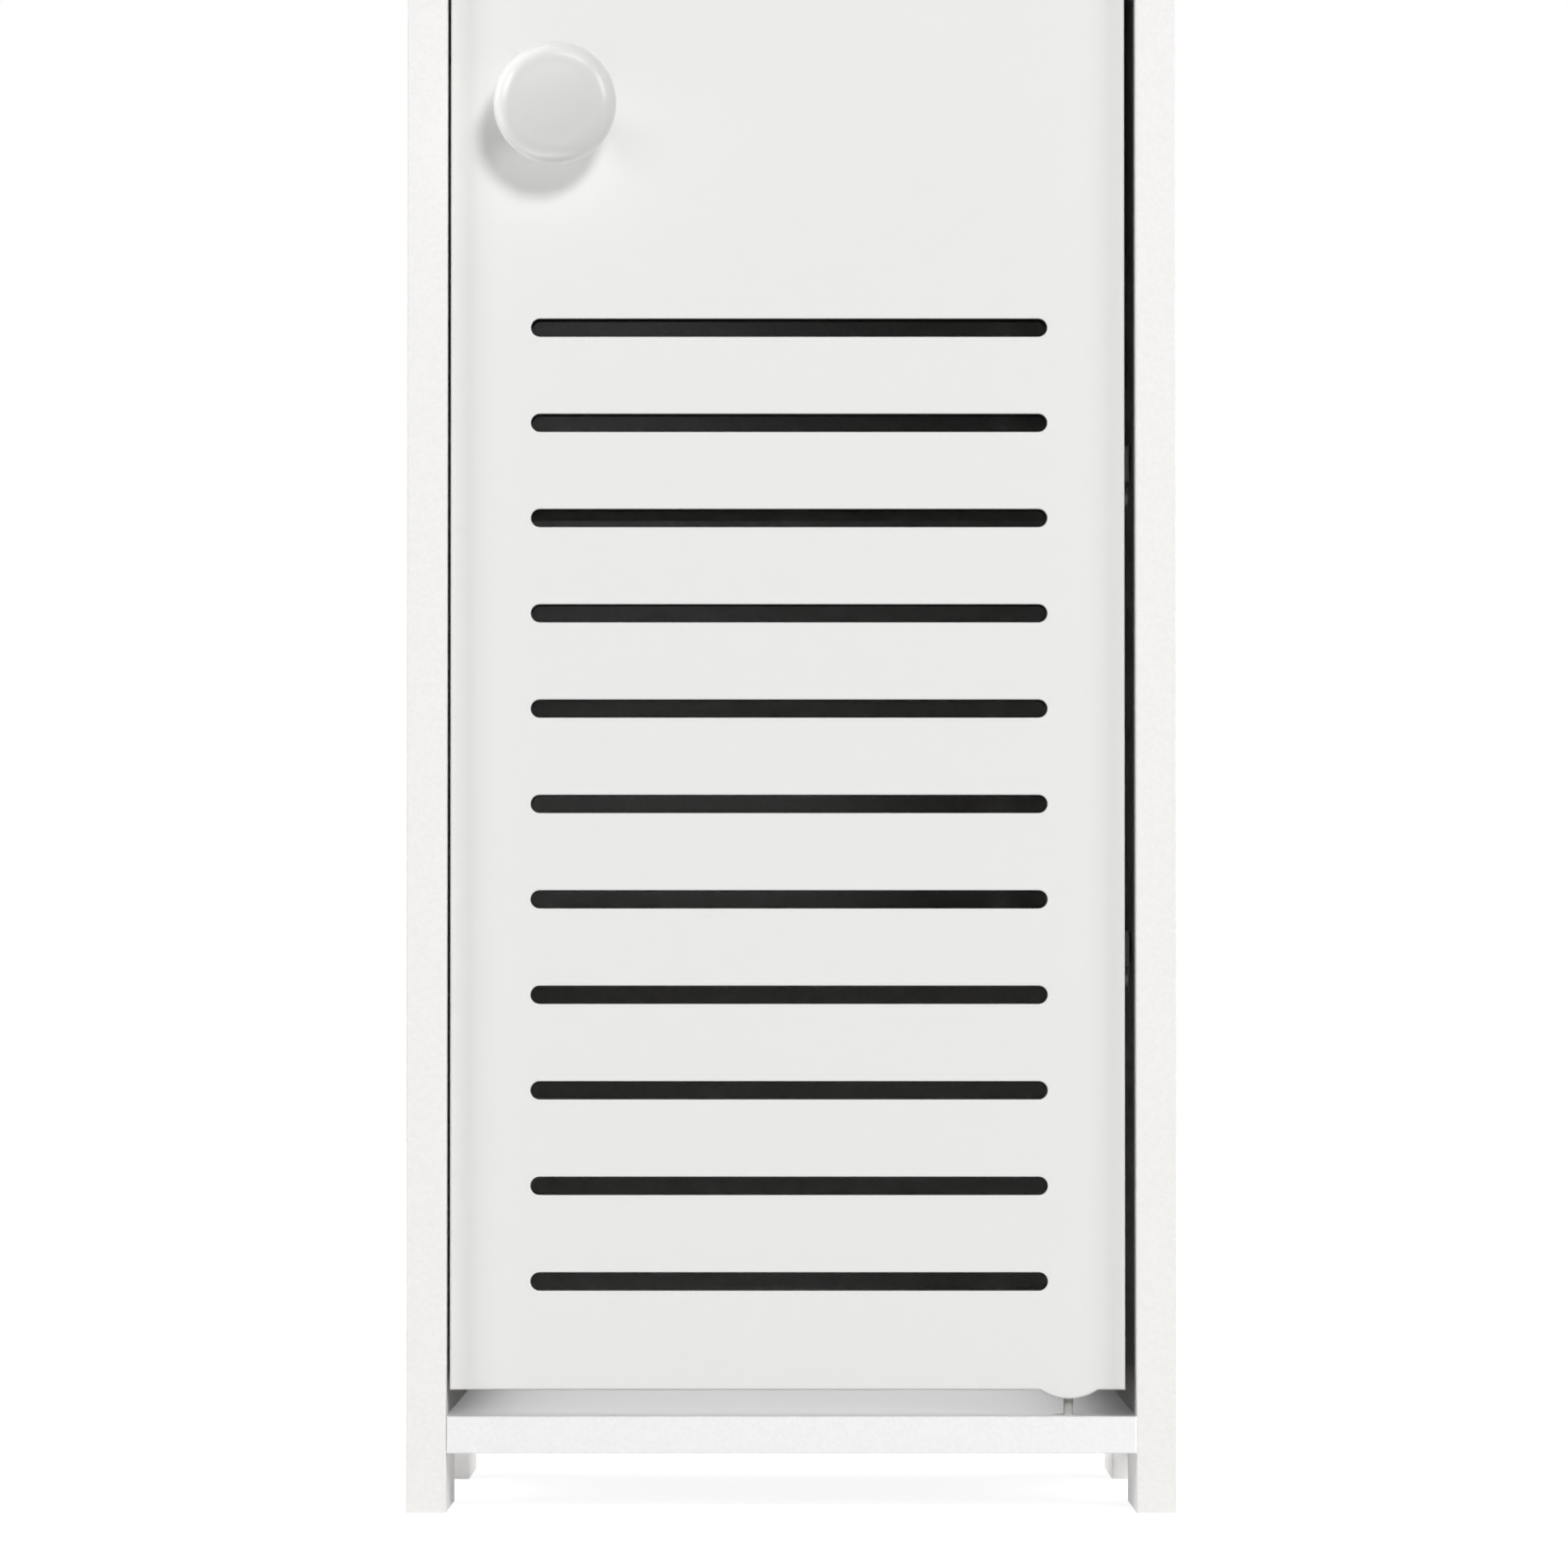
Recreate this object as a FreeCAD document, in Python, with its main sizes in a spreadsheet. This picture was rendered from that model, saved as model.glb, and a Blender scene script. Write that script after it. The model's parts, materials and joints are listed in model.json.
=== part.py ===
import FreeCAD, Part
import math
import os
import re
import Sketcher

# Narrow floor cabinet with one slotted (louvred) door that turns on two pivot pins.
# Millimetres. X runs to the right, Y from the door to the back, Z up.
# The origin lies on the floor, under the middle of the box that holds cabinet and knob.

# Driving sizes: name, value, what it is.
SIZES = [
    ("cabinet_width", 200.0, "over the outer faces of the two side panels"),
    ("cabinet_depth", 200.0, "front edge to rear edge of the side panels"),
    ("cabinet_height", 430.0, "floor to the top of the cabinet"),
    ("side_board", 10.3, "thickness of the side panels"),
    ("shelf_board", 9.6, "thickness of the top, bottom and shelves"),
    ("back_board", 3.0, "thickness of the back panel"),
    ("board_round", 0.35, "rounding of the boards' open edges"),
    ("foot_height", 15.5, "floor to the underside of the bottom shelf"),
    ("foot_length", 52.0, "each foot, measured from front to back"),
    ("notch_round", 1.5, "inner corners of the notch between two feet"),
    ("back_inset", 7.0, "rear edge of the sides to the back panel's groove"),
    ("groove_depth", 4.5, "depth of the back panel's groove"),
    ("groove_play", 0.2, "room for the back panel in its groove"),
    ("fit", 0.05, "clearance round a pin, screw or cap in its own hole"),
    ("end_play", 0.5, "room past the end of a pin, dowel or screw"),
    ("pin_radius", 2.5, "shank of a shelf pin"),
    ("pin_shank", 8.0, "length of a shelf pin in its hole"),
    ("pin_collar", 4.0, "radius of the collar of a shelf pin"),
    ("pin_collar_wide", 1.2, "thickness of that collar"),
    ("pin_lug_length", 7.5, "how far the flat lug of a pin reaches in"),
    ("pin_lug_width", 5.6, "width of that lug"),
    ("pin_lug_height", 4.4, "height of that lug"),
    ("pin_rows", 8, "shelf pin holes in a column"),
    ("pin_pitch", 32.0, "spacing of the holes in a column"),
    ("pin_start", 82.5, "top of the bottom shelf to the first hole"),
    ("pin_front_inset", 50.0, "front edge to the front column of holes"),
    ("pin_rear_inset", 32.0, "back panel to the rear column of holes"),
    ("lower_hole", 1, "holes below the pins of the lower shelf"),
    ("upper_hole", 5, "holes below the pins of the upper shelf"),
    ("shelf_setback", 28.0, "front edge of the sides to a loose shelf"),
    ("shelf_side_play", 0.5, "loose shelf to a side panel"),
    ("shelf_back_play", 1.0, "loose shelf to the back panel"),
    ("dowel_radius", 2.5, "dowels in the fixed boards"),
    ("dowel_length", 22.0, "whole length of a dowel"),
    ("dowel_in_side", 6.5, "part of a dowel that sits in a side panel"),
    ("dowel_chamfer", 0.6, "bevelled ends of a dowel"),
    ("screw_head", 3.4, "radius of a carcass screw's countersunk head"),
    ("screw_shank", 1.5, "radius of a carcass screw"),
    ("screw_length", 30.0, "length of a carcass screw"),
    ("screw_inset", 30.0, "front edge, or back panel, to a carcass screw"),
    ("screw_play", 0.2, "room round a carcass screw in the side panel"),
    ("cap_radius", 4.6, "radius of the flush cap over a carcass screw"),
    ("cap_seat", 1.1, "depth of the seat of that cap"),
    ("cap_thick", 1.0, "thickness of that cap"),
    ("tack_head", 3.0, "radius of a back panel or catch screw's head"),
    ("tack_head_tall", 1.6, "height of that head"),
    ("tack_shank", 1.2, "radius of that screw"),
    ("tack_length", 8.0, "length of that screw below its head"),
    ("tack_spread", 60.0, "cabinet's middle to a back panel screw"),
    ("door_board", 9.6, "thickness of the door"),
    ("door_recess", 5.0, "front edge of the sides to the face of the door"),
    ("door_round", 0.5, "rounding of the door's front edges"),
    ("latch_gap", 0.8, "door to the left side panel"),
    ("hinge_gap", 2.75, "door to the right side panel"),
    ("bottom_gap", 6.6, "bottom shelf to the door"),
    ("top_gap", 2.4, "door to the top panel"),
    ("slot_count", 11, "slots in the door"),
    ("slot_length", 134.7, "slot, end to end"),
    ("slot_height", 4.7, "slot, edge to edge"),
    ("slot_pitch", 24.88, "spacing of the slots"),
    ("slot_start", 28.2, "door's lower edge to the middle of the first slot"),
    ("slot_round", 0.3, "broken front edge of each slot"),
    ("slot_offset", 0.4, "slots' middle to the right of the door's middle"),
    ("pivot_inset", 14.65, "door's right edge to the pivot axis"),
    ("lobe_radius", 13.0, "rounded lobe under the door at its pivot"),
    ("lobe_drop", 2.4, "how far the lobe hangs below the door"),
    ("lobe_blend", 1.2, "hollow rounding on both sides of the lobe"),
    ("pivot_radius", 1.25, "both pivot pins"),
    ("pivot_running", 0.06, "clearance of a pivot pin in its bush"),
    ("pivot_grip", 16.0, "length of the lower pin inside the door"),
    ("pivot_reach", 9.0, "length of the upper pin inside the door"),
    ("pivot_tip_play", 0.1, "lower pin's tip to the floor of its bush"),
    ("pivot_chamfer", 0.3, "bevelled ends of the pivot pins"),
    ("pivot_head", 3.5, "radius of the upper pin's head"),
    ("pivot_head_tall", 1.5, "height of that head"),
    ("bush_radius", 2.8, "outside of the pivot bushes"),
    ("bush_flange", 4.0, "radius of their flanges"),
    ("bush_flange_tall", 0.8, "thickness of their flanges"),
    ("bush_cover", 1.6, "board left under the lower bush"),
    ("bush_floor", 1.2, "floor of the lower bush"),
    ("door_bush_length", 10.5, "length of the bush in the door's top edge"),
    ("knob_inset", 27.6, "door's left edge to the knob"),
    ("knob_drop", 52.4, "door's top edge to the knob"),
    ("knob_length", 24.0, "face of the door to the front of the knob"),
    ("knob_radius", 16.0, "head of the knob"),
    ("knob_crown", 1.4, "height of the slightly domed front face"),
    ("knob_face", 11.0, "radius of that face"),
    ("knob_rim", 5.2, "front face's edge back to the widest girth"),
    ("knob_back", 3.6, "widest girth back to the neck side of the head"),
    ("knob_neck", 6.2, "radius of the neck"),
    ("knob_neck_back", 6.5, "door to the front end of the neck's hollow"),
    ("knob_flare", 6.5, "radius of the hollow between foot and neck"),
    ("knob_base", 10.5, "radius of the foot of the knob"),
    ("knob_base_tall", 1.6, "straight edge of that foot"),
    ("knob_bolt", 2.0, "radius of the knob's screw"),
    ("knob_bolt_grip", 11.0, "length of that screw inside the knob"),
    ("knob_bolt_head", 4.0, "radius of that screw's head"),
    ("knob_bolt_head_tall", 2.2, "height of that screw's head"),
    ("knob_bolt_play", 0.2, "room round that screw in the door"),
    ("insert_radius", 3.4, "threaded insert in the knob"),
    ("insert_length", 12.5, "length of that insert"),
    ("catch_drop", 62.0, "door's top edge to the middle of the catch"),
    ("catch_gap", 0.3, "pole plates to the strike plate"),
    ("catch_thick", 14.0, "catch, measured from the side panel"),
    ("catch_deep", 14.0, "catch, front to back"),
    ("catch_tall", 24.0, "body of the catch"),
    ("ear_tall", 11.0, "each screw ear of the catch"),
    ("ear_thick", 2.4, "thickness of the ears"),
    ("catch_wall", 1.8, "walls of the catch"),
    ("magnet_thick", 5.0, "magnet between its two pole plates"),
    ("pole_thick", 1.4, "pole plate"),
    ("pole_proud", 1.0, "pole plates in front of the catch"),
    ("strike_width", 12.0, "strike plate, across the door"),
    ("strike_tall", 22.0, "strike plate, up the door"),
    ("strike_thick", 1.5, "strike plate"),
    ("strike_screw_head", 2.5, "radius of its countersunk screw"),
    ("strike_screw_shank", 1.1, "radius of that screw's shank"),
    ("strike_screw_length", 7.0, "length of that screw"),
]

# Places that follow from the sizes: name and formula.
PLACES = [
    ("side_x", "cabinet_width / 2"),
    ("inner_x", "side_x - side_board"),
    ("knob_proud", "knob_length - door_recess"),
    ("front_y", "(knob_proud - cabinet_depth) / 2"),
    ("board_depth", "cabinet_depth - back_inset - groove_play - back_board"),
    ("back_y", "front_y + board_depth"),
    ("shelf_top", "foot_height + shelf_board"),
    ("top_under", "cabinet_height - shelf_board"),
    ("door_left", "latch_gap - inner_x"),
    ("door_right", "inner_x - hinge_gap"),
    ("door_wide", "door_right - door_left"),
    ("door_y", "front_y + door_recess"),
    ("door_bottom", "shelf_top + bottom_gap"),
    ("door_top", "top_under - top_gap"),
    ("door_tall", "door_top - door_bottom"),
    ("pivot_x", "door_right - pivot_inset"),
    ("pivot_y", "door_y + door_board / 2"),
    ("pivot_along", "door_wide - pivot_inset"),
    ("first_pin", "shelf_top + pin_start"),
    ("pin_front_y", "pin_front_inset"),
    ("pin_rear_y", "board_depth - pin_rear_inset"),
    ("lower_shelf_z", "first_pin + lower_hole * pin_pitch + pin_radius"),
    ("upper_shelf_z", "first_pin + upper_hole * pin_pitch + pin_radius"),
    ("catch_z", "door_top - catch_drop"),
    ("catch_y", "door_y + door_board + catch_gap + pole_proud"),
    ("ear_z", "catch_tall / 2 + ear_tall / 2"),
    ("magnet_x", "catch_thick - catch_wall - pole_thick - magnet_thick / 2 - inner_x"),
    ("strike_along", "magnet_x - door_left"),
    ("bush_length", "shelf_board - bush_cover"),
]

doc = FreeCAD.newDocument("louvred_cabinet")
sheet = doc.addObject("Spreadsheet::Sheet", "sizes")
for row, (alias, number, meaning) in enumerate(SIZES, start=1):
    sheet.set(f"A{row}", alias)
    sheet.set(f"B{row}", str(number))
    sheet.set(f"C{row}", meaning)
    sheet.setAlias(f"B{row}", alias)
doc.recompute()
places = doc.addObject("App::VarSet", "places")

OWNER = {alias: "sizes" for alias, number, meaning in SIZES}
OWNER.update({place: "places" for place, formula in PLACES})
NODES = []
TOUCH = 0.01


def full(formula):
    """Puts the owner in front of each named size or place of a formula."""
    return re.sub(r"[a-z_]+", lambda word: f"{OWNER[word[0]]}.{word[0]}", formula)


def value(formula):
    """The number that a formula gives now."""
    return float(sheet.evalExpression(full(formula)))


def bind(item, **formulas):
    """Binds properties of an object to formulas."""
    for name, formula in formulas.items():
        item.setExpression(name, full(formula))


def place(item, x="0", y="0", z="0", axis=(0, 0, 1), turn=0):
    """Turns an object and binds its position to three formulas."""
    item.Placement = FreeCAD.Placement(FreeCAD.Vector(), FreeCAD.Rotation(FreeCAD.Vector(*axis), turn))
    for letter, formula in zip("xyz", (x, y, z)):
        item.setExpression(f".Placement.Base.{letter}", full(formula))


def node(item, label):
    """Names a finished sub-part."""
    item.Label = label
    NODES.append(item)
    return item


for name, formula in PLACES:
    places.addProperty("App::PropertyFloat", name)
    bind(places, **{name: formula})
    doc.recompute()


# ---- sketches ----

def origin_plane(body, role):
    return next(feature for feature in body.Origin.OriginFeatures if feature.Role == role)


def new_sketch(body, name, role, offset="0"):
    """A sketch on an origin plane of its own body, moved along the plane's normal."""
    sketch = body.newObject("Sketcher::SketchObject", name)
    sketch.AttachmentSupport = [(origin_plane(body, role), "")]
    sketch.MapMode = "FlatFace"
    sketch.setExpression(".AttachmentOffset.Base.z", full(offset))
    return sketch


def pin_point(sketch, edge, point, across, up):
    """Holds one point of a sketch at two formulas."""
    for kind, formula in (("DistanceX", across), ("DistanceY", up)):
        index = sketch.addConstraint(Sketcher.Constraint(kind, edge, point, value(formula)))
        sketch.setExpression(f"Constraints[{index}]", full(formula))


def fix_radius(sketch, edge, radius):
    """Binds the radius of an arc or circle to a formula."""
    index = sketch.addConstraint(Sketcher.Constraint("Radius", edge, value(radius)))
    sketch.setExpression(f"Constraints[{index}]", full(radius))


def arc_between(start, end, radius, side):
    """An arc that bulges to the right of the way from start to end, or to the left where side is -1."""
    chord = end - start
    sagitta = radius - math.sqrt(radius ** 2 - chord.Length ** 2 / 4)
    right = FreeCAD.Vector(chord.y, -chord.x, 0).normalize()
    return Part.Arc(start, (start + end) / 2 + right * side * sagitta, end)


def outline(sketch, corners, bulges=None):
    """A closed outline through corners. bulges gives the radius and side of the arc after a corner."""
    bulges = bulges or {}
    spots = [FreeCAD.Vector(value(across), value(up), 0) for across, up in corners]
    edges = []
    ends = []
    for index, spot in enumerate(spots):
        following = spots[(index + 1) % len(spots)]
        if index in bulges:
            radius, side = bulges[index]
            edge = sketch.addGeometry(arc_between(spot, following, value(radius), side))
            fix_radius(sketch, edge, radius)
        else:
            edge = sketch.addGeometry(Part.LineSegment(spot, following))
        turned_round = sketch.getPoint(edge, 1).distanceToPoint(spot) > TOUCH
        edges.append(edge)
        ends.append((2, 1) if turned_round else (1, 2))
    for index, edge in enumerate(edges):
        joint = Sketcher.Constraint("Coincident", edges[index - 1], ends[index - 1][1], edge, ends[index][0])
        sketch.addConstraint(joint)
        pin_point(sketch, edge, ends[index][0], *corners[index])
    return sketch


def rectangle(sketch, left, right, bottom, top):
    return outline(sketch, [(left, bottom), (right, bottom), (right, top), (left, top)])


def circles(sketch, radius, centres):
    """Equal circles at the given centres."""
    up = FreeCAD.Vector(0, 0, 1)
    for across, height in centres:
        centre = FreeCAD.Vector(value(across), value(height), 0)
        edge = sketch.addGeometry(Part.Circle(centre, up, value(radius)))
        fix_radius(sketch, edge, radius)
        pin_point(sketch, edge, 3, across, height)
    return sketch


# ---- features ----

def pad(body, sketch, length, flip=False):
    feature = body.newObject("PartDesign::Pad", "pad")
    feature.Profile = sketch
    feature.Reversed = flip
    bind(feature, Length=length)
    doc.recompute()
    return feature


def pocket(body, sketch, depth=None, flip=False):
    """Cuts a sketch to a depth, or right through where no depth is given."""
    feature = body.newObject("PartDesign::Pocket", "pocket")
    feature.Profile = sketch
    feature.Reversed = flip
    if depth is None:
        feature.Type = "ThroughAll"
    else:
        bind(feature, Length=depth)
    doc.recompute()
    return feature


def repeat(body, feature, direction, pitch, count):
    """Repeats a feature in a row along an axis of a sketch."""
    pattern = body.newObject("PartDesign::LinearPattern", "row")
    pattern.Originals = [feature]
    pattern.Direction = direction
    bind(pattern, Length=f"{pitch} * ({count} - 1)", Occurrences=count)
    body.Tip = pattern
    doc.recompute()
    return pattern


def mirror_ends(body, features):
    """Repeats features on the other half of a board that lies across its own YZ plane."""
    mirrored = body.newObject("PartDesign::Mirrored", "other_end")
    mirrored.Originals = features
    mirrored.MirrorPlane = (origin_plane(body, "YZ_Plane"), [""])
    body.Tip = mirrored
    doc.recompute()
    return mirrored


def rounded(body, radius, chosen):
    """Fillets the edges of the body's tip that pass a test on their two ends."""
    tip = body.Tip
    names = []
    for index, edge in enumerate(tip.Shape.Edges, start=1):
        if chosen(edge.Vertexes[0].Point, edge.Vertexes[-1].Point):
            names.append(f"Edge{index}")
    feature = body.newObject("PartDesign::Fillet", "round")
    feature.Base = (tip, names)
    bind(feature, Radius=radius)
    doc.recompute()
    return feature


def near(first, second):
    return abs(first - second) < TOUCH


def turned(label, corners, bulges=None):
    """A body turned about its own Z axis from an outline of radius and height."""
    body = doc.addObject("PartDesign::Body", label)
    sketch = outline(new_sketch(body, "profile", "XZ_Plane"), corners, bulges)
    feature = body.newObject("PartDesign::Revolution", "turning")
    feature.Profile = sketch
    feature.ReferenceAxis = (sketch, ["V_Axis"])
    feature.Angle = 360
    doc.recompute()
    return body


def block(name, size, corner):
    """A box bound to formulas."""
    box = doc.addObject("Part::Box", name)
    bind(box, Length=size[0], Width=size[1], Height=size[2])
    place(box, *corner)
    return box


def joined(kind, label, base, tool):
    """A boolean of two shapes."""
    result = doc.addObject(kind, label)
    result.Base = base
    result.Tool = tool
    return result


def group(label, master, spots, axis=(0, 0, 1), turns=None):
    """Copies of one piece, each a solid of its own, in one node."""
    copies = []
    for index, spot in enumerate(spots):
        copy = doc.addObject("App::Link", f"{label}_{index + 1}")
        copy.LinkedObject = master
        place(copy, *spot, axis=axis, turn=turns[index] if turns else 0)
        copies.append(copy)
    bundle = doc.addObject("Part::Compound", label)
    bundle.Links = copies
    return node(bundle, label)


# ---- side panels ----

SCREW_Y = ("screw_inset", "board_depth - screw_inset")
BOARD_MIDDLES = ("foot_height + shelf_board / 2", "cabinet_height - shelf_board / 2")
JOINT_SPOTS = [(along, height) for height in BOARD_MIDDLES for along in SCREW_Y]
DOWEL_Y = "board_depth / 2"
EAR_ENDS = ("catch_z - ear_z", "catch_z + ear_z")
CATCH_SCREW_Y = "catch_y + catch_deep / 2"


def side_panel():
    """The left panel: local x runs inwards from its outer face, y from its front edge, z from the floor."""
    body = doc.addObject("PartDesign::Body", "side_panel_left")
    profile = [
        ("0", "0"), ("foot_length", "0"), ("foot_length", "foot_height"),
        ("cabinet_depth - foot_length", "foot_height"), ("cabinet_depth - foot_length", "0"),
        ("cabinet_depth", "0"), ("cabinet_depth", "cabinet_height"), ("0", "cabinet_height"),
    ]
    pad(body, outline(new_sketch(body, "profile", "YZ_Plane"), profile), "side_board")
    notch_top = value("foot_height")
    notch_ends = (value("foot_length"), value("cabinet_depth - foot_length"))
    rounded(body, "notch_round", lambda first, last: near(first.y, last.y) and near(first.z, last.z)
            and near(first.z, notch_top) and any(near(first.y, end) for end in notch_ends))
    inner = value("side_board")
    rounded(body, "board_round", lambda first, last: near(first.x, last.x)
            and (near(first.x, 0) or (near(first.x, inner) and near(first.y, 0) and near(last.y, 0))))
    groove = rectangle(new_sketch(body, "groove", "YZ_Plane", "side_board"),
                       "board_depth", "cabinet_depth - back_inset", "foot_height", "cabinet_height")
    pocket(body, groove, "groove_depth")
    pin_columns = [("pin_front_y", "first_pin"), ("pin_rear_y", "first_pin")]
    pin_sketch = circles(new_sketch(body, "pin_holes", "YZ_Plane", "side_board"),
                         "pin_radius + fit", pin_columns)
    pin_holes = pocket(body, pin_sketch, "pin_shank + end_play")
    repeat(body, pin_holes, (pin_sketch, ["V_Axis"]), "pin_pitch", "pin_rows")
    dowel_holes = circles(new_sketch(body, "dowel_holes", "YZ_Plane", "side_board"), "dowel_radius + fit",
                          [(DOWEL_Y, height) for height in BOARD_MIDDLES])
    pocket(body, dowel_holes, "dowel_in_side + end_play")
    catch_holes = circles(new_sketch(body, "catch_holes", "YZ_Plane", "side_board"), "tack_shank + fit",
                          [(f"{CATCH_SCREW_Y} - front_y", height) for height in EAR_ENDS])
    pocket(body, catch_holes, "tack_length - ear_thick + end_play")
    cap_seats = circles(new_sketch(body, "cap_seats", "YZ_Plane"), "cap_radius + fit", JOINT_SPOTS)
    pocket(body, cap_seats, "cap_seat", flip=True)
    screw_holes = circles(new_sketch(body, "screw_holes", "YZ_Plane", "cap_seat"),
                          "screw_shank + screw_play", JOINT_SPOTS)
    doc.recompute()
    seats = body.newObject("PartDesign::Hole", "screw_seats")
    seats.Profile = screw_holes
    doc.recompute()
    seats.Reversed = True
    seats.DepthType = "ThroughAll"
    seats.Threaded = False
    bind(seats, Diameter="2 * (screw_shank + screw_play)")
    seats.HoleCutType = "Countersink"
    bind(seats, HoleCutDiameter="2 * (screw_head + fit)")
    seats.HoleCutCountersinkAngle = 90
    doc.recompute()
    place(body, "-side_x", "front_y", "0")
    return node(body, "side_panel_left")


left_panel = side_panel()
right_panel = doc.addObject("Part::Mirroring", "side_panel_right")
right_panel.Source = left_panel
right_panel.Normal = (1, 0, 0)
node(right_panel, "side_panel_right")


# ---- boards that lie across the cabinet ----

def plank(label, half_length, depth, level, front):
    """A level board, rounded all round its front: local x from its middle, y from its front, z from below."""
    body = doc.addObject("PartDesign::Body", label)
    profile = new_sketch(body, "profile", "XY_Plane")
    pad(body, rectangle(profile, f"-({half_length})", half_length, "0", depth), "shelf_board")
    rounded(body, "board_round", lambda first, last: near(first.y, 0) and near(last.y, 0))
    place(body, "0", front, level)
    return body


def fixed_board(label, level):
    """A plank between the side panels, drilled for dowels and screws at its ends and rear edge."""
    body = plank(label, "inner_x", "board_depth", level, "front_y")
    middle = "shelf_board / 2"
    dowels = circles(new_sketch(body, "dowel_bore", "YZ_Plane", "-inner_x"), "dowel_radius + fit",
                     [(DOWEL_Y, middle)])
    dowel_bore = pocket(body, dowels, "dowel_length - dowel_in_side + end_play", flip=True)
    screws = circles(new_sketch(body, "screw_bores", "YZ_Plane", "-inner_x"), "screw_shank + fit",
                     [(along, middle) for along in SCREW_Y])
    screw_bores = pocket(body, screws, "screw_length + cap_seat - side_board + end_play", flip=True)
    mirror_ends(body, [dowel_bore, screw_bores])
    tacks = circles(new_sketch(body, "tack_bores", "XZ_Plane", "-board_depth"), "tack_shank + fit",
                    [("-tack_spread", middle), ("tack_spread", middle)])
    pocket(body, tacks, "tack_length - back_board + end_play", flip=True)
    return body


def seat(body, name, height, radius, depth=None):
    """A round seat for a pivot piece, cut down from a height of a fixed board."""
    sketch = circles(new_sketch(body, name, "XY_Plane", height), radius, [("pivot_x", "pivot_y - front_y")])
    pocket(body, sketch, depth)


bottom_shelf = fixed_board("bottom_shelf", "foot_height")
seat(bottom_shelf, "bush_bore", "shelf_board", "bush_radius + fit", "bush_length")
seat(bottom_shelf, "bush_rebate", "shelf_board", "bush_flange + fit", "bush_flange_tall")
node(bottom_shelf, "bottom_shelf")

top_panel = fixed_board("top_panel", "top_under")
seat(top_panel, "pivot_bore", "shelf_board", "pivot_radius + fit")
seat(top_panel, "pivot_rebate", "shelf_board", "pivot_head + fit", "pivot_head_tall")
node(top_panel, "top_panel")

LOOSE_DEPTH = "board_depth - shelf_setback - shelf_back_play"
LOOSE_FRONT = "front_y + shelf_setback"
for height in ("lower", "upper"):
    label = f"adjustable_shelf_{height}"
    loose = plank(label, "inner_x - shelf_side_play", LOOSE_DEPTH, f"{height}_shelf_z", LOOSE_FRONT)
    node(loose, label)

back_panel = doc.addObject("PartDesign::Body", "back_panel")
back_half = "inner_x + groove_depth - groove_play"
back_sheet = rectangle(new_sketch(back_panel, "profile", "XZ_Plane"), f"-({back_half})", back_half,
                       "foot_height", "cabinet_height")
pad(back_panel, back_sheet, "back_board", flip=True)
TACK_SPOTS = [(side, height) for height in BOARD_MIDDLES for side in ("-tack_spread", "tack_spread")]
pocket(back_panel, circles(new_sketch(back_panel, "tack_holes", "XZ_Plane"), "tack_shank + fit", TACK_SPOTS))
place(back_panel, "0", "back_y", "0")
node(back_panel, "back_panel")


# ---- dowels, screws, caps and shelf pins ----

dowel = turned("dowel", [
    ("0", "0"), ("dowel_radius - dowel_chamfer", "0"), ("dowel_radius", "dowel_chamfer"),
    ("dowel_radius", "dowel_length - dowel_chamfer"), ("dowel_radius - dowel_chamfer", "dowel_length"),
    ("0", "dowel_length"),
])
carcass_screw = turned("carcass_screw", [
    ("0", "0"), ("screw_head", "0"), ("screw_shank", "screw_shank - screw_head"),
    ("screw_shank", "2 * screw_shank - screw_length"), ("0", "-screw_length"),
])
screw_cap = turned("screw_cap", [
    ("0", "0"), ("cap_radius", "0"), ("cap_radius", "cap_thick"), ("0", "cap_thick"),
])
tack = turned("tack", [
    ("0", "tack_head_tall"), ("tack_head - tack_head_tall / 2", "tack_head_tall"),
    ("tack_head", "tack_head_tall / 2"), ("tack_head", "0"), ("tack_shank", "0"),
    ("tack_shank", "2 * tack_shank - tack_length"), ("0", "-tack_length"),
])

ACROSS = (0, 1, 0)
DOWEL_X = "inner_x + dowel_in_side - dowel_length"
DOWEL_SPOTS = [(f"{sign}({DOWEL_X})", f"front_y + {DOWEL_Y}", height)
               for sign in ("-", "") for height in BOARD_MIDDLES]
group("carcass_dowels", dowel, DOWEL_SPOTS, axis=ACROSS, turns=[-90, -90, 90, 90])
for side, sign, turn in (("left", "-", -90), ("right", "", 90)):
    joint_spots = [(f"front_y + {along}", height) for along, height in JOINT_SPOTS]
    turns = [turn] * len(joint_spots)
    group(f"carcass_screws_{side}", carcass_screw,
          [(f"{sign}(side_x - cap_seat)", along, height) for along, height in joint_spots], ACROSS, turns)
    group(f"screw_caps_{side}", screw_cap,
          [(f"{sign}(side_x - cap_seat)", along, height) for along, height in joint_spots], ACROSS, turns)
group("back_panel_screws", tack, [(side, "back_y + back_board", height) for side, height in TACK_SPOTS],
      axis=(1, 0, 0), turns=[-90] * len(TACK_SPOTS))

pin_turning = turned("pin_turning", [
    ("0", "-pin_shank"), ("pin_radius", "-pin_shank"), ("pin_radius", "0"), ("pin_collar", "0"),
    ("pin_collar", "pin_collar_wide"), ("0", "pin_collar_wide"),
])
place(pin_turning, axis=ACROSS, turn=90)
pin_lug = block("pin_lug", ("pin_lug_length", "pin_lug_width", "pin_lug_height"),
                ("0", "-pin_lug_width / 2", "pin_radius - pin_lug_height"))
pin_trim = block("pin_trim", ("pin_collar_wide", "2 * pin_collar", "2 * pin_collar"),
                 ("0", "-pin_collar", "pin_radius"))
shelf_pin = joined("Part::Cut", "shelf_pin", joined("Part::Fuse", "pin_form", pin_turning, pin_lug), pin_trim)
shelf_pin.Refine = True
PIN_SPOTS = [(side, f"front_y + {along}") for side in ("-inner_x", "inner_x")
             for along in ("pin_front_y", "pin_rear_y")]
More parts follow.
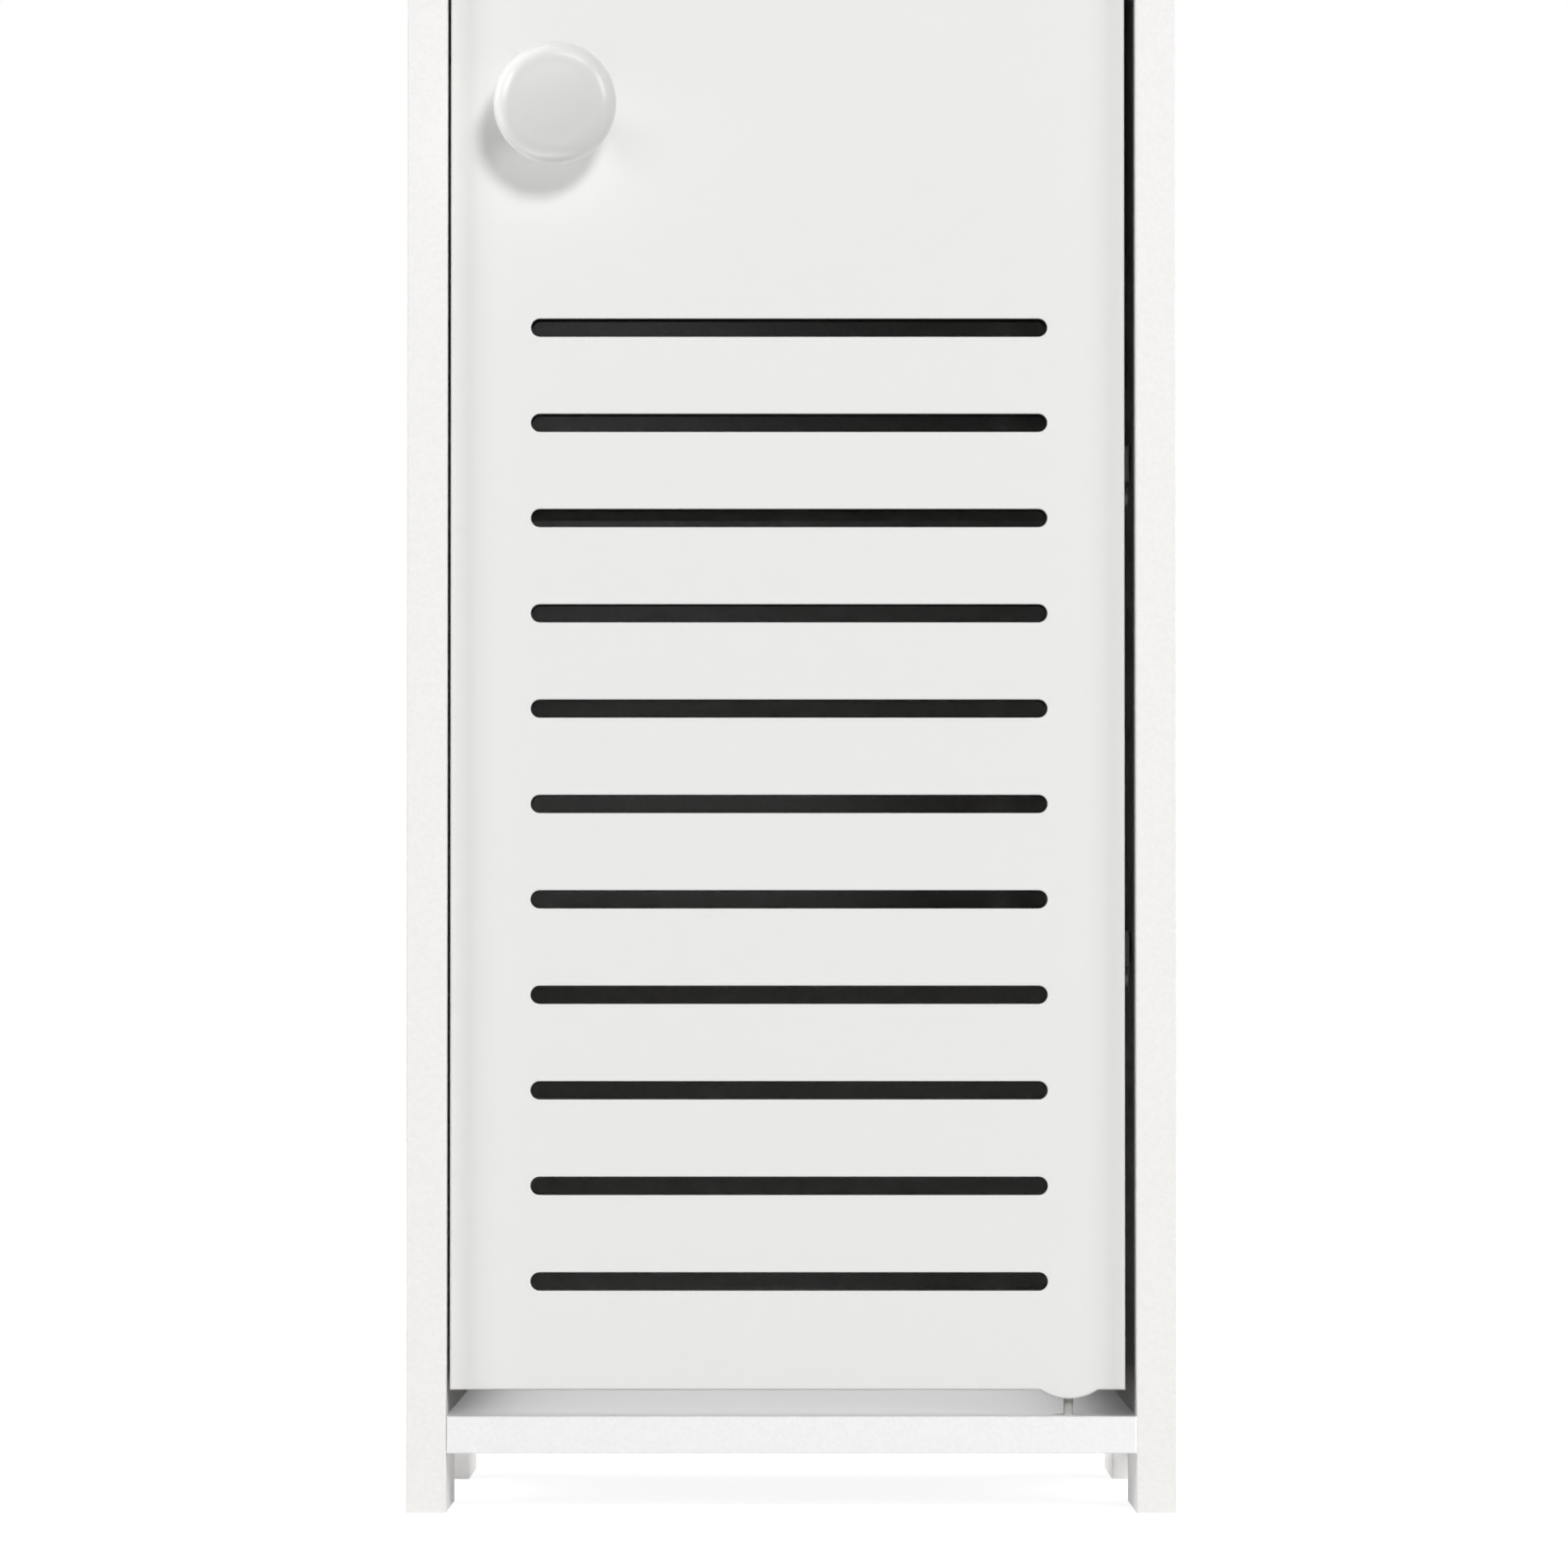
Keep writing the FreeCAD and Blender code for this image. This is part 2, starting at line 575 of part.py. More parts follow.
for level in ("lower", "upper"):
    height = f"{level}_shelf_z - pin_radius"
    group(f"shelf_pins_{level}", shelf_pin, [(side, along, height) for side, along in PIN_SPOTS],
          turns=[0, 0, 180, 180])


# ---- pivots ----

bottom_bush = turned("lower_pivot_bush", [
    ("0", "0"), ("bush_radius", "0"), ("bush_radius", "bush_length - bush_flange_tall"),
    ("bush_flange", "bush_length - bush_flange_tall"), ("bush_flange", "bush_length"),
    ("pivot_radius + pivot_running", "bush_length"), ("pivot_radius + pivot_running", "bush_floor"),
    ("0", "bush_floor"),
])
place(bottom_bush, "pivot_x", "pivot_y", "shelf_top - bush_length")
node(bottom_bush, "lower_pivot_bush")

LOWER_PIN_FOOT = "shelf_top - bush_length + bush_floor + pivot_tip_play"
LOWER_PIN_LENGTH = f"(door_bottom - lobe_drop + pivot_grip - ({LOWER_PIN_FOOT}))"
lower_pin = turned("lower_pivot_pin", [
    ("0", "0"), ("pivot_radius - pivot_chamfer", "0"), ("pivot_radius", "pivot_chamfer"),
    ("pivot_radius", f"{LOWER_PIN_LENGTH} - pivot_chamfer"),
    ("pivot_radius - pivot_chamfer", LOWER_PIN_LENGTH), ("0", LOWER_PIN_LENGTH),
])
place(lower_pin, "pivot_x", "pivot_y", LOWER_PIN_FOOT)
node(lower_pin, "lower_pivot_pin")

UPPER_PIN_TIP = "pivot_head_tall - shelf_board - top_gap - pivot_reach"
upper_pin = turned("upper_pivot_pin", [
    ("0", "pivot_head_tall"), ("pivot_head", "pivot_head_tall"), ("pivot_head", "0"), ("pivot_radius", "0"),
    ("pivot_radius", f"{UPPER_PIN_TIP} + pivot_chamfer"), ("pivot_radius - pivot_chamfer", UPPER_PIN_TIP),
    ("0", UPPER_PIN_TIP),
])
place(upper_pin, "pivot_x", "pivot_y", "cabinet_height - pivot_head_tall")
node(upper_pin, "upper_pivot_pin")

door_bush = turned("door_top_bush", [
    ("pivot_radius + pivot_running", "0"), ("bush_radius", "0"),
    ("bush_radius", "door_bush_length - bush_flange_tall"),
    ("bush_flange", "door_bush_length - bush_flange_tall"),
    ("bush_flange", "door_bush_length"), ("pivot_radius + pivot_running", "door_bush_length"),
])
place(door_bush, "pivot_x", "pivot_y", "door_top - door_bush_length")
node(door_bush, "door_top_bush")


# ---- door ----

def slot(sketch, left, right, middle, height):
    """A level slot with half-round ends."""
    radius = value(height) / 2
    rise = value(middle)
    up = FreeCAD.Vector(0, 0, 1)
    ends = []
    for centre, start in ((f"{left} + {height} / 2", math.pi / 2), (f"{right} - {height} / 2", -math.pi / 2)):
        circle = Part.Circle(FreeCAD.Vector(value(centre), rise, 0), up, radius)
        end = sketch.addGeometry(Part.ArcOfCircle(circle, start, start + math.pi))
        pin_point(sketch, end, 3, centre, middle)
        ends.append((end, value(centre)))
    (left_end, left_x), (right_end, right_x) = ends
    lower = sketch.addGeometry(Part.LineSegment(FreeCAD.Vector(left_x, rise - radius, 0),
                                                FreeCAD.Vector(right_x, rise - radius, 0)))
    upper = sketch.addGeometry(Part.LineSegment(FreeCAD.Vector(right_x, rise + radius, 0),
                                                FreeCAD.Vector(left_x, rise + radius, 0)))
    for first, first_end, second, second_end in ((left_end, 2, lower, 1), (lower, 2, right_end, 1),
                                                 (right_end, 2, upper, 1), (upper, 2, left_end, 1)):
        sketch.addConstraint(Sketcher.Constraint("Tangent", first, first_end, second, second_end))
    sketch.addConstraint(Sketcher.Constraint("Equal", left_end, right_end))
    fix_radius(sketch, left_end, f"{height} / 2")
    return sketch


def door_panel():
    """The slotted door: local x from its left edge, y from its face, z from its lower edge."""
    body = doc.addObject("PartDesign::Body", "door_panel")
    pad(body, rectangle(new_sketch(body, "profile", "XZ_Plane"), "0", "door_wide", "0", "door_tall"),
        "door_board", flip=True)
    lobe = circles(new_sketch(body, "lobe", "XZ_Plane"), "lobe_radius",
                   [("pivot_along", "lobe_radius - lobe_drop")])
    pad(body, lobe, "door_board", flip=True)
    right_edge = value("door_wide")
    rounded(body, "lobe_blend", lambda first, last: near(first.x, last.x) and near(first.z, 0)
            and near(last.z, 0) and not near(first.x, 0) and not near(first.x, right_edge))
    rounded(body, "door_round", lambda first, last: near(first.y, 0) and near(last.y, 0))
    margin = "(door_wide - slot_length) / 2"
    first_slot = slot(new_sketch(body, "first_slot", "XZ_Plane"), f"{margin} + slot_offset",
                      f"door_wide - {margin} + slot_offset", "slot_start", "slot_height")
    repeat(body, pocket(body, first_slot), (first_slot, ["V_Axis"]), "slot_pitch", "slot_count")
    slots_left = value(margin) - TOUCH
    slots_bottom = value("slot_start - slot_height / 2") - TOUCH
    rounded(body, "slot_round", lambda first, last: near(first.y, 0) and near(last.y, 0)
            and all(slots_left < end.x < right_edge - slots_left and end.z > slots_bottom
                    for end in (first, last)))
    knob_hole = circles(new_sketch(body, "knob_hole", "XZ_Plane"), "knob_bolt + knob_bolt_play",
                        [("knob_inset", "door_tall - knob_drop")])
    pocket(body, knob_hole)
    for name, height, radius, depth in (
            ("pin_bore", "-lobe_drop", "pivot_radius + fit", "pivot_grip + end_play"),
            ("bush_bore", "door_tall", "bush_radius + fit", "door_bush_length + end_play"),
            ("bush_rebate", "door_tall", "bush_flange + fit", "bush_flange_tall")):
        spot = [("pivot_along", "door_board / 2")]
        bore = circles(new_sketch(body, name, "XY_Plane", height), radius, spot)
        pocket(body, bore, depth, flip=name == "pin_bore")
    middle = "door_tall - catch_drop"
    half_width = "(strike_width / 2 + fit)"
    half_tall = "(strike_tall / 2 + fit)"
    strike_seat = rectangle(new_sketch(body, "strike_seat", "XZ_Plane", "-door_board"),
                            f"strike_along - {half_width}", f"strike_along + {half_width}",
                            f"{middle} - {half_tall}", f"{middle} + {half_tall}")
    pocket(body, strike_seat, "strike_thick", flip=True)
    strike_bore = circles(new_sketch(body, "strike_bore", "XZ_Plane", "-door_board"),
                          "strike_screw_shank + fit", [("strike_along", middle)])
    pocket(body, strike_bore, "strike_screw_length + end_play", flip=True)
    place(body, "door_left", "door_y", "door_bottom")
    return node(body, "door_panel")


door_panel()


# ---- knob ----

# Radius and height along the knob's axis, from the door's face to the front of the knob.
HEAD_FRONT = "knob_length - knob_crown"
GIRTH = f"{HEAD_FRONT} - knob_rim"
HEAD_BACK = f"{GIRTH} - knob_back"
knob = turned("knob", [
    ("0", "insert_length"), ("insert_radius + fit", "insert_length"), ("insert_radius + fit", "0"),
    ("knob_base", "0"), ("knob_base", "knob_base_tall"), ("knob_neck", "knob_neck_back"),
    ("knob_radius - knob_back", HEAD_BACK), ("knob_radius", GIRTH), ("knob_face", HEAD_FRONT),
    ("0", "knob_length"),
], {
    4: ("knob_flare", -1),
    6: ("knob_back", 1),
    7: ("knob_rim", 1),
    8: ("(knob_face * knob_face + knob_crown * knob_crown) / (2 * knob_crown)", 1),
})
KNOB_AT = ("door_left + knob_inset", "door_y", "door_top - knob_drop")
place(knob, *KNOB_AT, axis=(1, 0, 0), turn=90)
node(knob, "knob")

insert = turned("knob_insert", [
    ("0", "insert_length"), ("0", "knob_bolt_grip + end_play"), ("knob_bolt", "knob_bolt_grip + end_play"),
    ("knob_bolt", "0"), ("insert_radius", "0"), ("insert_radius", "insert_length"),
])
place(insert, *KNOB_AT, axis=(1, 0, 0), turn=90)
node(insert, "knob_insert")

BOLT_REACH = "door_board + knob_bolt_grip"
knob_screw = turned("knob_screw", [
    ("0", "-knob_bolt_head_tall"), ("knob_bolt_head - knob_bolt_head_tall / 2", "-knob_bolt_head_tall"),
    ("knob_bolt_head", "-knob_bolt_head_tall / 2"), ("knob_bolt_head", "0"), ("knob_bolt - fit", "0"),
    ("knob_bolt - fit", f"{BOLT_REACH} - fit"), ("0", f"{BOLT_REACH} - fit"),
])
place(knob_screw, KNOB_AT[0], "door_y + door_board", KNOB_AT[2], axis=(1, 0, 0), turn=90)
node(knob_screw, "knob_screw")


# ---- magnetic catch and strike plate ----

CATCH_CORNER = ("-inner_x", "catch_y", "catch_z - catch_tall / 2")
catch_body = block("catch_block", ("catch_thick", "catch_deep", "catch_tall"), CATCH_CORNER)
catch_ears = block("catch_ears", ("ear_thick", "catch_deep", "catch_tall + 2 * ear_tall"),
                   ("-inner_x", "catch_y", "catch_z - catch_tall / 2 - ear_tall"))
POLE_X = "magnet_x - magnet_thick / 2 - pole_thick"
INSIDE_TALL = "(catch_tall - 2 * catch_wall)"
catch_cavity = block("catch_cavity",
                     ("magnet_thick + 2 * pole_thick + 2 * fit", "catch_deep - catch_wall", INSIDE_TALL),
                     (f"{POLE_X} - fit", "catch_y", f"catch_z - {INSIDE_TALL} / 2"))
ear_bores = []
for index, height in enumerate(EAR_ENDS):
    bore = doc.addObject("Part::Cylinder", f"ear_bore_{index + 1}")
    bind(bore, Radius="tack_shank + fit", Height="ear_thick")
    place(bore, "-inner_x", CATCH_SCREW_Y, height, axis=ACROSS, turn=90)
    ear_bores.append(bore)
catch_cuts = doc.addObject("Part::Compound", "catch_cuts")
catch_cuts.Links = [catch_cavity] + ear_bores
catch_form = joined("Part::Fuse", "catch_form", catch_body, catch_ears)
catch_form.Refine = True
node(joined("Part::Cut", "catch_housing", catch_form, catch_cuts), "catch_housing")

POLE_TALL = f"({INSIDE_TALL} - 2 * fit)"
POLE_DEEP = "catch_deep - catch_wall"
node(block("catch_magnet", ("magnet_thick", POLE_DEEP, POLE_TALL),
           (f"{POLE_X} + pole_thick", "catch_y", f"catch_z - {POLE_TALL} / 2")), "catch_magnet")
pole_plate = block("pole_plate", ("pole_thick", f"{POLE_DEEP} + pole_proud", POLE_TALL), ("0", "0", "0"))
group("catch_pole_plates", pole_plate,
      [(across, "catch_y - pole_proud", f"catch_z - {POLE_TALL} / 2")
       for across in (POLE_X, f"{POLE_X} + pole_thick + magnet_thick")])
group("catch_screws", tack, [("ear_thick - inner_x", CATCH_SCREW_Y, height) for height in EAR_ENDS],
      axis=ACROSS, turns=[90, 90])

STRIKE_AT = ("magnet_x", "door_y + door_board", "catch_z")
STRIKE_CORNER = ("magnet_x - strike_width / 2", "door_y + door_board - strike_thick",
                 "catch_z - strike_tall / 2")
strike_blank = block("strike_blank", ("strike_width", "strike_thick", "strike_tall"), STRIKE_CORNER)
strike_sink = doc.addObject("Part::Cone", "strike_sink")
bind(strike_sink, Radius1="strike_screw_head + fit", Radius2="strike_screw_shank + fit",
     Height="strike_screw_head - strike_screw_shank")
strike_bore = doc.addObject("Part::Cylinder", "strike_bore")
bind(strike_bore, Radius="strike_screw_shank + fit", Height="strike_thick")
for cutter in (strike_sink, strike_bore):
    place(cutter, *STRIKE_AT, axis=(1, 0, 0), turn=90)
strike_hole = joined("Part::Fuse", "strike_hole", strike_sink, strike_bore)
node(joined("Part::Cut", "strike_plate", strike_blank, strike_hole), "strike_plate")
strike_screw = turned("strike_screw", [
    ("0", "0"), ("strike_screw_head", "0"), ("strike_screw_shank", "strike_screw_head - strike_screw_shank"),
    ("strike_screw_shank", "strike_screw_length - strike_screw_shank"), ("0", "strike_screw_length"),
])
place(strike_screw, *STRIKE_AT, axis=(1, 0, 0), turn=90)
node(strike_screw, "strike_screw")


# ---- checks and export ----

doc.recompute()
for item in doc.Objects:
    faults = {"Invalid", "Error"} & set(item.State)
    if faults:
        raise RuntimeError(f"{item.Label} is {', '.join(sorted(faults))}")
os.makedirs("parts", exist_ok=True)
for item in NODES:
    if item.Shape.isNull() or not item.Shape.isValid():
        raise RuntimeError(f"{item.Label} has no valid shape")
for item in NODES:
    item.Shape.exportStep(f"parts/{item.Label}.step")
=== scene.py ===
"""Finishes, small fittings, studio and camera for a narrow floor cabinet with a slotted door."""

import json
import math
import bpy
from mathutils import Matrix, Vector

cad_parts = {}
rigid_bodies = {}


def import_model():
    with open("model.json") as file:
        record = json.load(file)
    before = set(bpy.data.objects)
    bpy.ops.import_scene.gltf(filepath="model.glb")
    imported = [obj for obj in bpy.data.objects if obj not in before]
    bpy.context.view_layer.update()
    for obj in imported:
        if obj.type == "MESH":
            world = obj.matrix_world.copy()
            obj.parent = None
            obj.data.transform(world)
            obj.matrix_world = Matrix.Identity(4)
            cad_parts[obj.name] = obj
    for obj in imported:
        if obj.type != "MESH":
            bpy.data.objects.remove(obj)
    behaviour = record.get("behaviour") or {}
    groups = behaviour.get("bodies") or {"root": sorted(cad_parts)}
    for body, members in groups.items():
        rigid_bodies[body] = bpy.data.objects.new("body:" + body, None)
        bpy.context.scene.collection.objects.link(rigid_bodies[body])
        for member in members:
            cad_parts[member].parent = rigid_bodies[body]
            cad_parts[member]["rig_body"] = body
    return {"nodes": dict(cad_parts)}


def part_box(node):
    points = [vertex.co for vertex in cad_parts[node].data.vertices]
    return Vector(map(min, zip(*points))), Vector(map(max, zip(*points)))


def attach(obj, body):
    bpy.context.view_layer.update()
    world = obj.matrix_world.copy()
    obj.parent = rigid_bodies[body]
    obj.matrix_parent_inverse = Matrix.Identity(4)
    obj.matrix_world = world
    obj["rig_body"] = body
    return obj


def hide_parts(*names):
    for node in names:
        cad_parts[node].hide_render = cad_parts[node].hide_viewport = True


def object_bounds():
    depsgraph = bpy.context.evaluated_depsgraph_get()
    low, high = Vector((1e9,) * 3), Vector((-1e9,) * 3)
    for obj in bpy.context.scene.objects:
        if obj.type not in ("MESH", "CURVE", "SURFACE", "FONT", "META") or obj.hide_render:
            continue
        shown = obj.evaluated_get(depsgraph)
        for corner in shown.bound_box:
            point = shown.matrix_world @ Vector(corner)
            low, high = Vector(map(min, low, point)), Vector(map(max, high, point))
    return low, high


bl_info = {
    "name": "Louvred Door Cabinet",
    "version": (1, 0, 0),
    "blender": (4, 5, 0),
    "location": "3D View > Sidebar > Cabinet",
    "description": "Dresses the packed cabinet with its finishes, fittings, studio and camera",
    "category": "Object",
}

import bmesh
import bpy
from mathutils import Matrix, Vector

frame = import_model()
CAD_BOX = [list(corner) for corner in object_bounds()]
MM = 0.001
QUARTER = math.pi / 2
# How close two points are, in metres, when they are one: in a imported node, and in a new outline.
NODE_MERGE, OUTLINE_MERGE = 1e-6, 1e-7


def linear(code):
    """An sRGB hex value as the linear colour that the shaders take."""
    levels = [int(code[i:i + 2], 16) / 255 for i in (0, 2, 4)]
    return [v / 12.92 if v <= 0.04045 else ((v + 0.055) / 1.055) ** 2.4 for v in levels] + [1.0]


# ---- what a user would change ----

def colour_property(name, code, description):
    return bpy.props.FloatVectorProperty(
        name=name, description=description, default=linear(code), size=4, min=0.0, max=1.0,
        subtype="COLOR")


def length_property(name, default, least, most, description):
    return bpy.props.FloatProperty(
        name=name, description=description, default=default, min=least, max=most,
        subtype="DISTANCE", unit="LENGTH")


def level_property(name, default, description):
    return bpy.props.FloatProperty(
        name=name, description=description, default=default, min=0.0, max=5.0)


class CabinetFinish(bpy.types.PropertyGroup):
    """Colours and surface sizes of the cabinet."""

    side_colour: colour_property("Side Panels", "F2F0EE", "Colour of the embossed side panels")
    shelf_colour: colour_property("Shelves", "F3F3F3", "Colour of the shelves, top and back")
    door_colour: colour_property("Door", "E7E7E5", "Colour of the satin door")
    # Painted shade: the slots' walls take this dark colour for the shade in the slots.
    slot_shade_colour: colour_property("Slot Walls", "2A2A28", "Colour of the routed walls of the slots")
    knob_colour: colour_property("Knob", "C1C1C0", "Colour of the glossy knob")
    nylon_colour: colour_property("Nylon", "F0F0EA", "Colour of the moulded nylon fittings")
    pivot_colour: colour_property("Pivots", "B6B6B4", "Colour of the coated pivot pins")
    emboss_size: length_property(
        "Emboss Size", 1.0 * MM, 0.2 * MM, 10 * MM, "Width of one bump of the board's skin")
    emboss_height: length_property(
        "Emboss Height", 0.05 * MM, 0.0, 1 * MM, "Height of the bumps of the board's skin")


class CabinetFittings(bpy.types.PropertyGroup):
    """Sizes of the small fittings."""

    knob_steps: bpy.props.IntProperty(
        name="Knob Steps", description="Faces round the knob before it is smoothed",
        default=48, min=12, max=128)
    recess_width: bpy.props.FloatProperty(
        name="Recess Width", description="Cross recess of a screw, as a share of its head",
        default=0.62, min=0.3, max=0.8, subtype="FACTOR")
    housing_edge: length_property(
        "Housing Edge", 0.35 * MM, 0.05 * MM, 1 * MM, "Rounding of the catch housing's edges")
    small_edge: length_property(
        "Small Edge", 0.15 * MM, 0.02 * MM, 0.5 * MM,
        "Rounding of the edges of bushes, caps, pins and plates")


class CabinetStudio(bpy.types.PropertyGroup):
    """Camera and light."""

    camera_distance: length_property(
        "Camera Distance", 2.0, 0.5, 10.0, "Camera to the front edges of the cabinet")
    camera_height: length_property("Camera Height", 0.1282, 0.0, 3.0, "Camera above the floor")
    camera_lens: bpy.props.FloatProperty(
        name="Lens", description="Focal length of the camera",
        default=176.6, min=20.0, max=400.0, subtype="DISTANCE_CAMERA")
    camera_tilt: bpy.props.FloatProperty(
        name="Tilt", description="Camera's upward tilt",
        default=math.radians(1.226), min=-0.5, max=0.5, subtype="ANGLE", unit="ROTATION")
    ambient: level_property("Ambient", 0.03, "Strength of the light from all round")
    key: level_property("Key", 0.51, "Level of the key light, from above on the right")
    side_fill: level_property("Side Fills", 0.37, "Level of each of the two softboxes at the sides")
    back_fill: level_property(
        "Back Fills", 0.38, "Level of each of the two softboxes behind the cabinet")
    rim_light: level_property(
        "Rim Light", 2.0, "Level of the light that only the knob takes, from the left")
    arc_light: level_property(
        "Arc Light", 0.2, "Level of the light that only the knob takes, from above")
    knob_low_light: level_property(
        "Knob Low Light", 0.8, "Level of the light that only the knob takes, from below")
    shelf_light: level_property(
        "Shelf Light", 0.88, "Level of the light on the bottom shelf's upper face")
    shelf_edge_light: level_property(
        "Shelf Edge Light", 1.07, "Level of the softbox in front that only the bottom shelf takes")
    wall_light: level_property(
        "Wall Light", 0.24, "Level of the light on the side panels just above the bottom shelf")
    back_light: level_property(
        "Back Light", 0.15, "Level of the light that only the back panel takes")
    rear_feet_light: level_property(
        "Rear Feet Light", 1.3, "Level of the lights on the front and the inside of the rear feet")
    left_foot_light: level_property(
        "Left Foot Light", 0.4, "Level of the light on the inside of the left front foot")
    right_foot_light: level_property(
        "Right Foot Light", 0.9, "Level of the light on the inside of the right front foot")


# ---- materials ----

# Sockets of a colour Mix node: what mixes, the two colours, and the result.
MIX_BY, MIX_FIRST, MIX_SECOND, MIXED = 0, 6, 7, 2
# The values between which a noise texture mostly stays.
NOISE_LOW, NOISE_HIGH = 0.3, 0.7


def add(tree, kind, settings=None, links=None):
    """Adds a shader node. settings are its own properties, links its inputs: sockets or values."""
    made = tree.nodes.new(kind)
    for name, setting in (settings or {}).items():
        setattr(made, name, setting)
    for socket, source in (links or {}).items():
        if isinstance(source, bpy.types.NodeSocket):
            tree.links.new(source, made.inputs[socket])
        else:
            made.inputs[socket].default_value = source
    return made


def new_material(name):
    """An empty material with its tree, output and object coordinates."""
    made = bpy.data.materials.new(name)
    made.use_nodes = True
    tree = made.node_tree
    tree.nodes.clear()
    output = add(tree, "ShaderNodeOutputMaterial")
    place = add(tree, "ShaderNodeTexCoord").outputs["Object"]
    return made, tree, output, place


def shade(colour, share):
    """A colour made darker by a share."""
    return [level * (1 - share) for level in colour[:3]] + [1.0]


def embossed_board(name, colour, finish):
    """Foamed PVC board under an embossed foil: matt, with soft bumps, grain a third as wide, and
    painted shade where the bumps are low.
    """
    made, tree, output, place = new_material(name)
    bumps = add(tree, "ShaderNodeTexNoise", links={
        "Vector": place, "Scale": 1 / finish.emboss_size, "Detail": 1.5}).outputs["Fac"]
    fine = add(tree, "ShaderNodeTexNoise", links={
        "Vector": place, "Scale": 3 / finish.emboss_size, "Detail": 1.0}).outputs["Fac"]
    hollow_shade = add(tree, "ShaderNodeMapRange", links={
        "Value": bumps, "From Min": 0.35, "From Max": 0.65})
    gloss = add(tree, "ShaderNodeMapRange", links={
        "Value": fine, "From Min": NOISE_LOW, "From Max": NOISE_HIGH,
        "To Min": 0.46, "To Max": 0.58})
    # Painted shade: the colour is 3 % darker where the bumps are low, in the recesses of the
    # emboss.
    tint = add(tree, "ShaderNodeMix", {"data_type": "RGBA"}, {
        MIX_BY: hollow_shade.outputs[0], MIX_FIRST: shade(colour, 0.03), MIX_SECOND: colour})
    broad = add(tree, "ShaderNodeBump", links={"Height": bumps, "Distance": finish.emboss_height})
    normal = add(tree, "ShaderNodeBump", links={
        "Height": fine, "Distance": finish.emboss_height / 4, "Normal": broad.outputs[0]})
    shader = add(tree, "ShaderNodeBsdfPrincipled", links={
        "Base Color": tint.outputs[MIXED], "Roughness": gloss.outputs[0],
        "Normal": normal.outputs[0], "IOR": 1.5, "Specular IOR Level": 0.4})
    tree.links.new(shader.outputs[0], output.inputs["Surface"])
    return made


def satin_door(name, finish):
    """The same board with a smooth pressed skin. The slots' walls are coloured dark as painted
    shade for the dark of the slots.
    """
    made, tree, output, place = new_material(name)
    haze = add(tree, "ShaderNodeTexNoise", links={
        "Vector": place, "Scale": 1 / (6 * MM), "Detail": 2.0}).outputs["Fac"]
    fine = add(tree, "ShaderNodeTexNoise", links={
        "Vector": place, "Scale": 1 / (0.6 * MM), "Detail": 1.0}).outputs["Fac"]
    # Painted shade goes on a slot's wall: a face that doesn't face forwards or backwards, and lies
    # within these margins of the door.
    side_margin, foot_margin, head_margin, wall_facing = 18 * MM, 18 * MM, 80 * MM, 0.5
    low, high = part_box("door_panel")
    across = add(tree, "ShaderNodeSeparateXYZ", links={"Vector": place})
    geometry = add(tree, "ShaderNodeNewGeometry")
    facing = add(tree, "ShaderNodeSeparateXYZ", links={"Vector": geometry.outputs["Normal"]})
    forwards = add(tree, "ShaderNodeMath", {"operation": "ABSOLUTE"}, {
        0: facing.outputs["Y"]}).outputs[0]
    slot_shade_mask = 1.0
    for value, test, bound in (
            (forwards, "LESS_THAN", wall_facing),
            (across.outputs["X"], "GREATER_THAN", low.x + side_margin),
            (across.outputs["X"], "LESS_THAN", high.x - side_margin),
            (across.outputs["Z"], "GREATER_THAN", low.z + foot_margin),
            (across.outputs["Z"], "LESS_THAN", high.z - head_margin)):
        passed = add(tree, "ShaderNodeMath", {"operation": test}, {0: value, 1: bound}).outputs[0]
        slot_shade_mask = add(tree, "ShaderNodeMath", {"operation": "MULTIPLY"}, {
            0: passed, 1: slot_shade_mask}).outputs[0]
    skin = list(finish.door_colour)
    clouded = add(tree, "ShaderNodeMix", {"data_type": "RGBA"}, {
        MIX_BY: haze, MIX_FIRST: shade(skin, 0.012), MIX_SECOND: skin})
    # The slots' walls get the dark slot colour: painted shade.
    tint = add(tree, "ShaderNodeMix", {"data_type": "RGBA"}, {
        MIX_BY: slot_shade_mask, MIX_FIRST: clouded.outputs[MIXED], MIX_SECOND: list(finish.slot_shade_colour)})
    gloss = add(tree, "ShaderNodeMapRange", links={
        "Value": haze, "From Min": NOISE_LOW, "From Max": NOISE_HIGH,
        "To Min": 0.4, "To Max": 0.46})
    normal = add(tree, "ShaderNodeBump", links={"Height": fine, "Distance": 0.004 * MM})
    shader = add(tree, "ShaderNodeBsdfPrincipled", links={
        "Base Color": tint.outputs[MIXED], "Roughness": gloss.outputs[0],
        "Normal": normal.outputs[0], "IOR": 1.5, "Specular IOR Level": 0.4})
    tree.links.new(shader.outputs[0], output.inputs["Surface"])
    return made


def glossy_knob(name, finish):
    """Injection-moulded ABS: even colour, soft gloss, and a long slight waviness from the flow."""
    made, tree, output, place = new_material(name)
    flow = add(tree, "ShaderNodeTexNoise", links={
        "Vector": place, "Scale": 1 / (14 * MM), "Detail": 0.0}).outputs["Fac"]
    gloss = add(tree, "ShaderNodeMapRange", links={
        "Value": flow, "From Min": NOISE_LOW, "From Max": NOISE_HIGH,
        "To Min": 0.28, "To Max": 0.31})
    normal = add(tree, "ShaderNodeBump", links={"Height": flow, "Distance": 0.005 * MM})
    shader = add(tree, "ShaderNodeBsdfPrincipled", links={
        "Base Color": list(finish.knob_colour), "Roughness": gloss.outputs[0],
        "Normal": normal.outputs[0], "IOR": 1.52})
    tree.links.new(shader.outputs[0], output.inputs["Surface"])
    return made


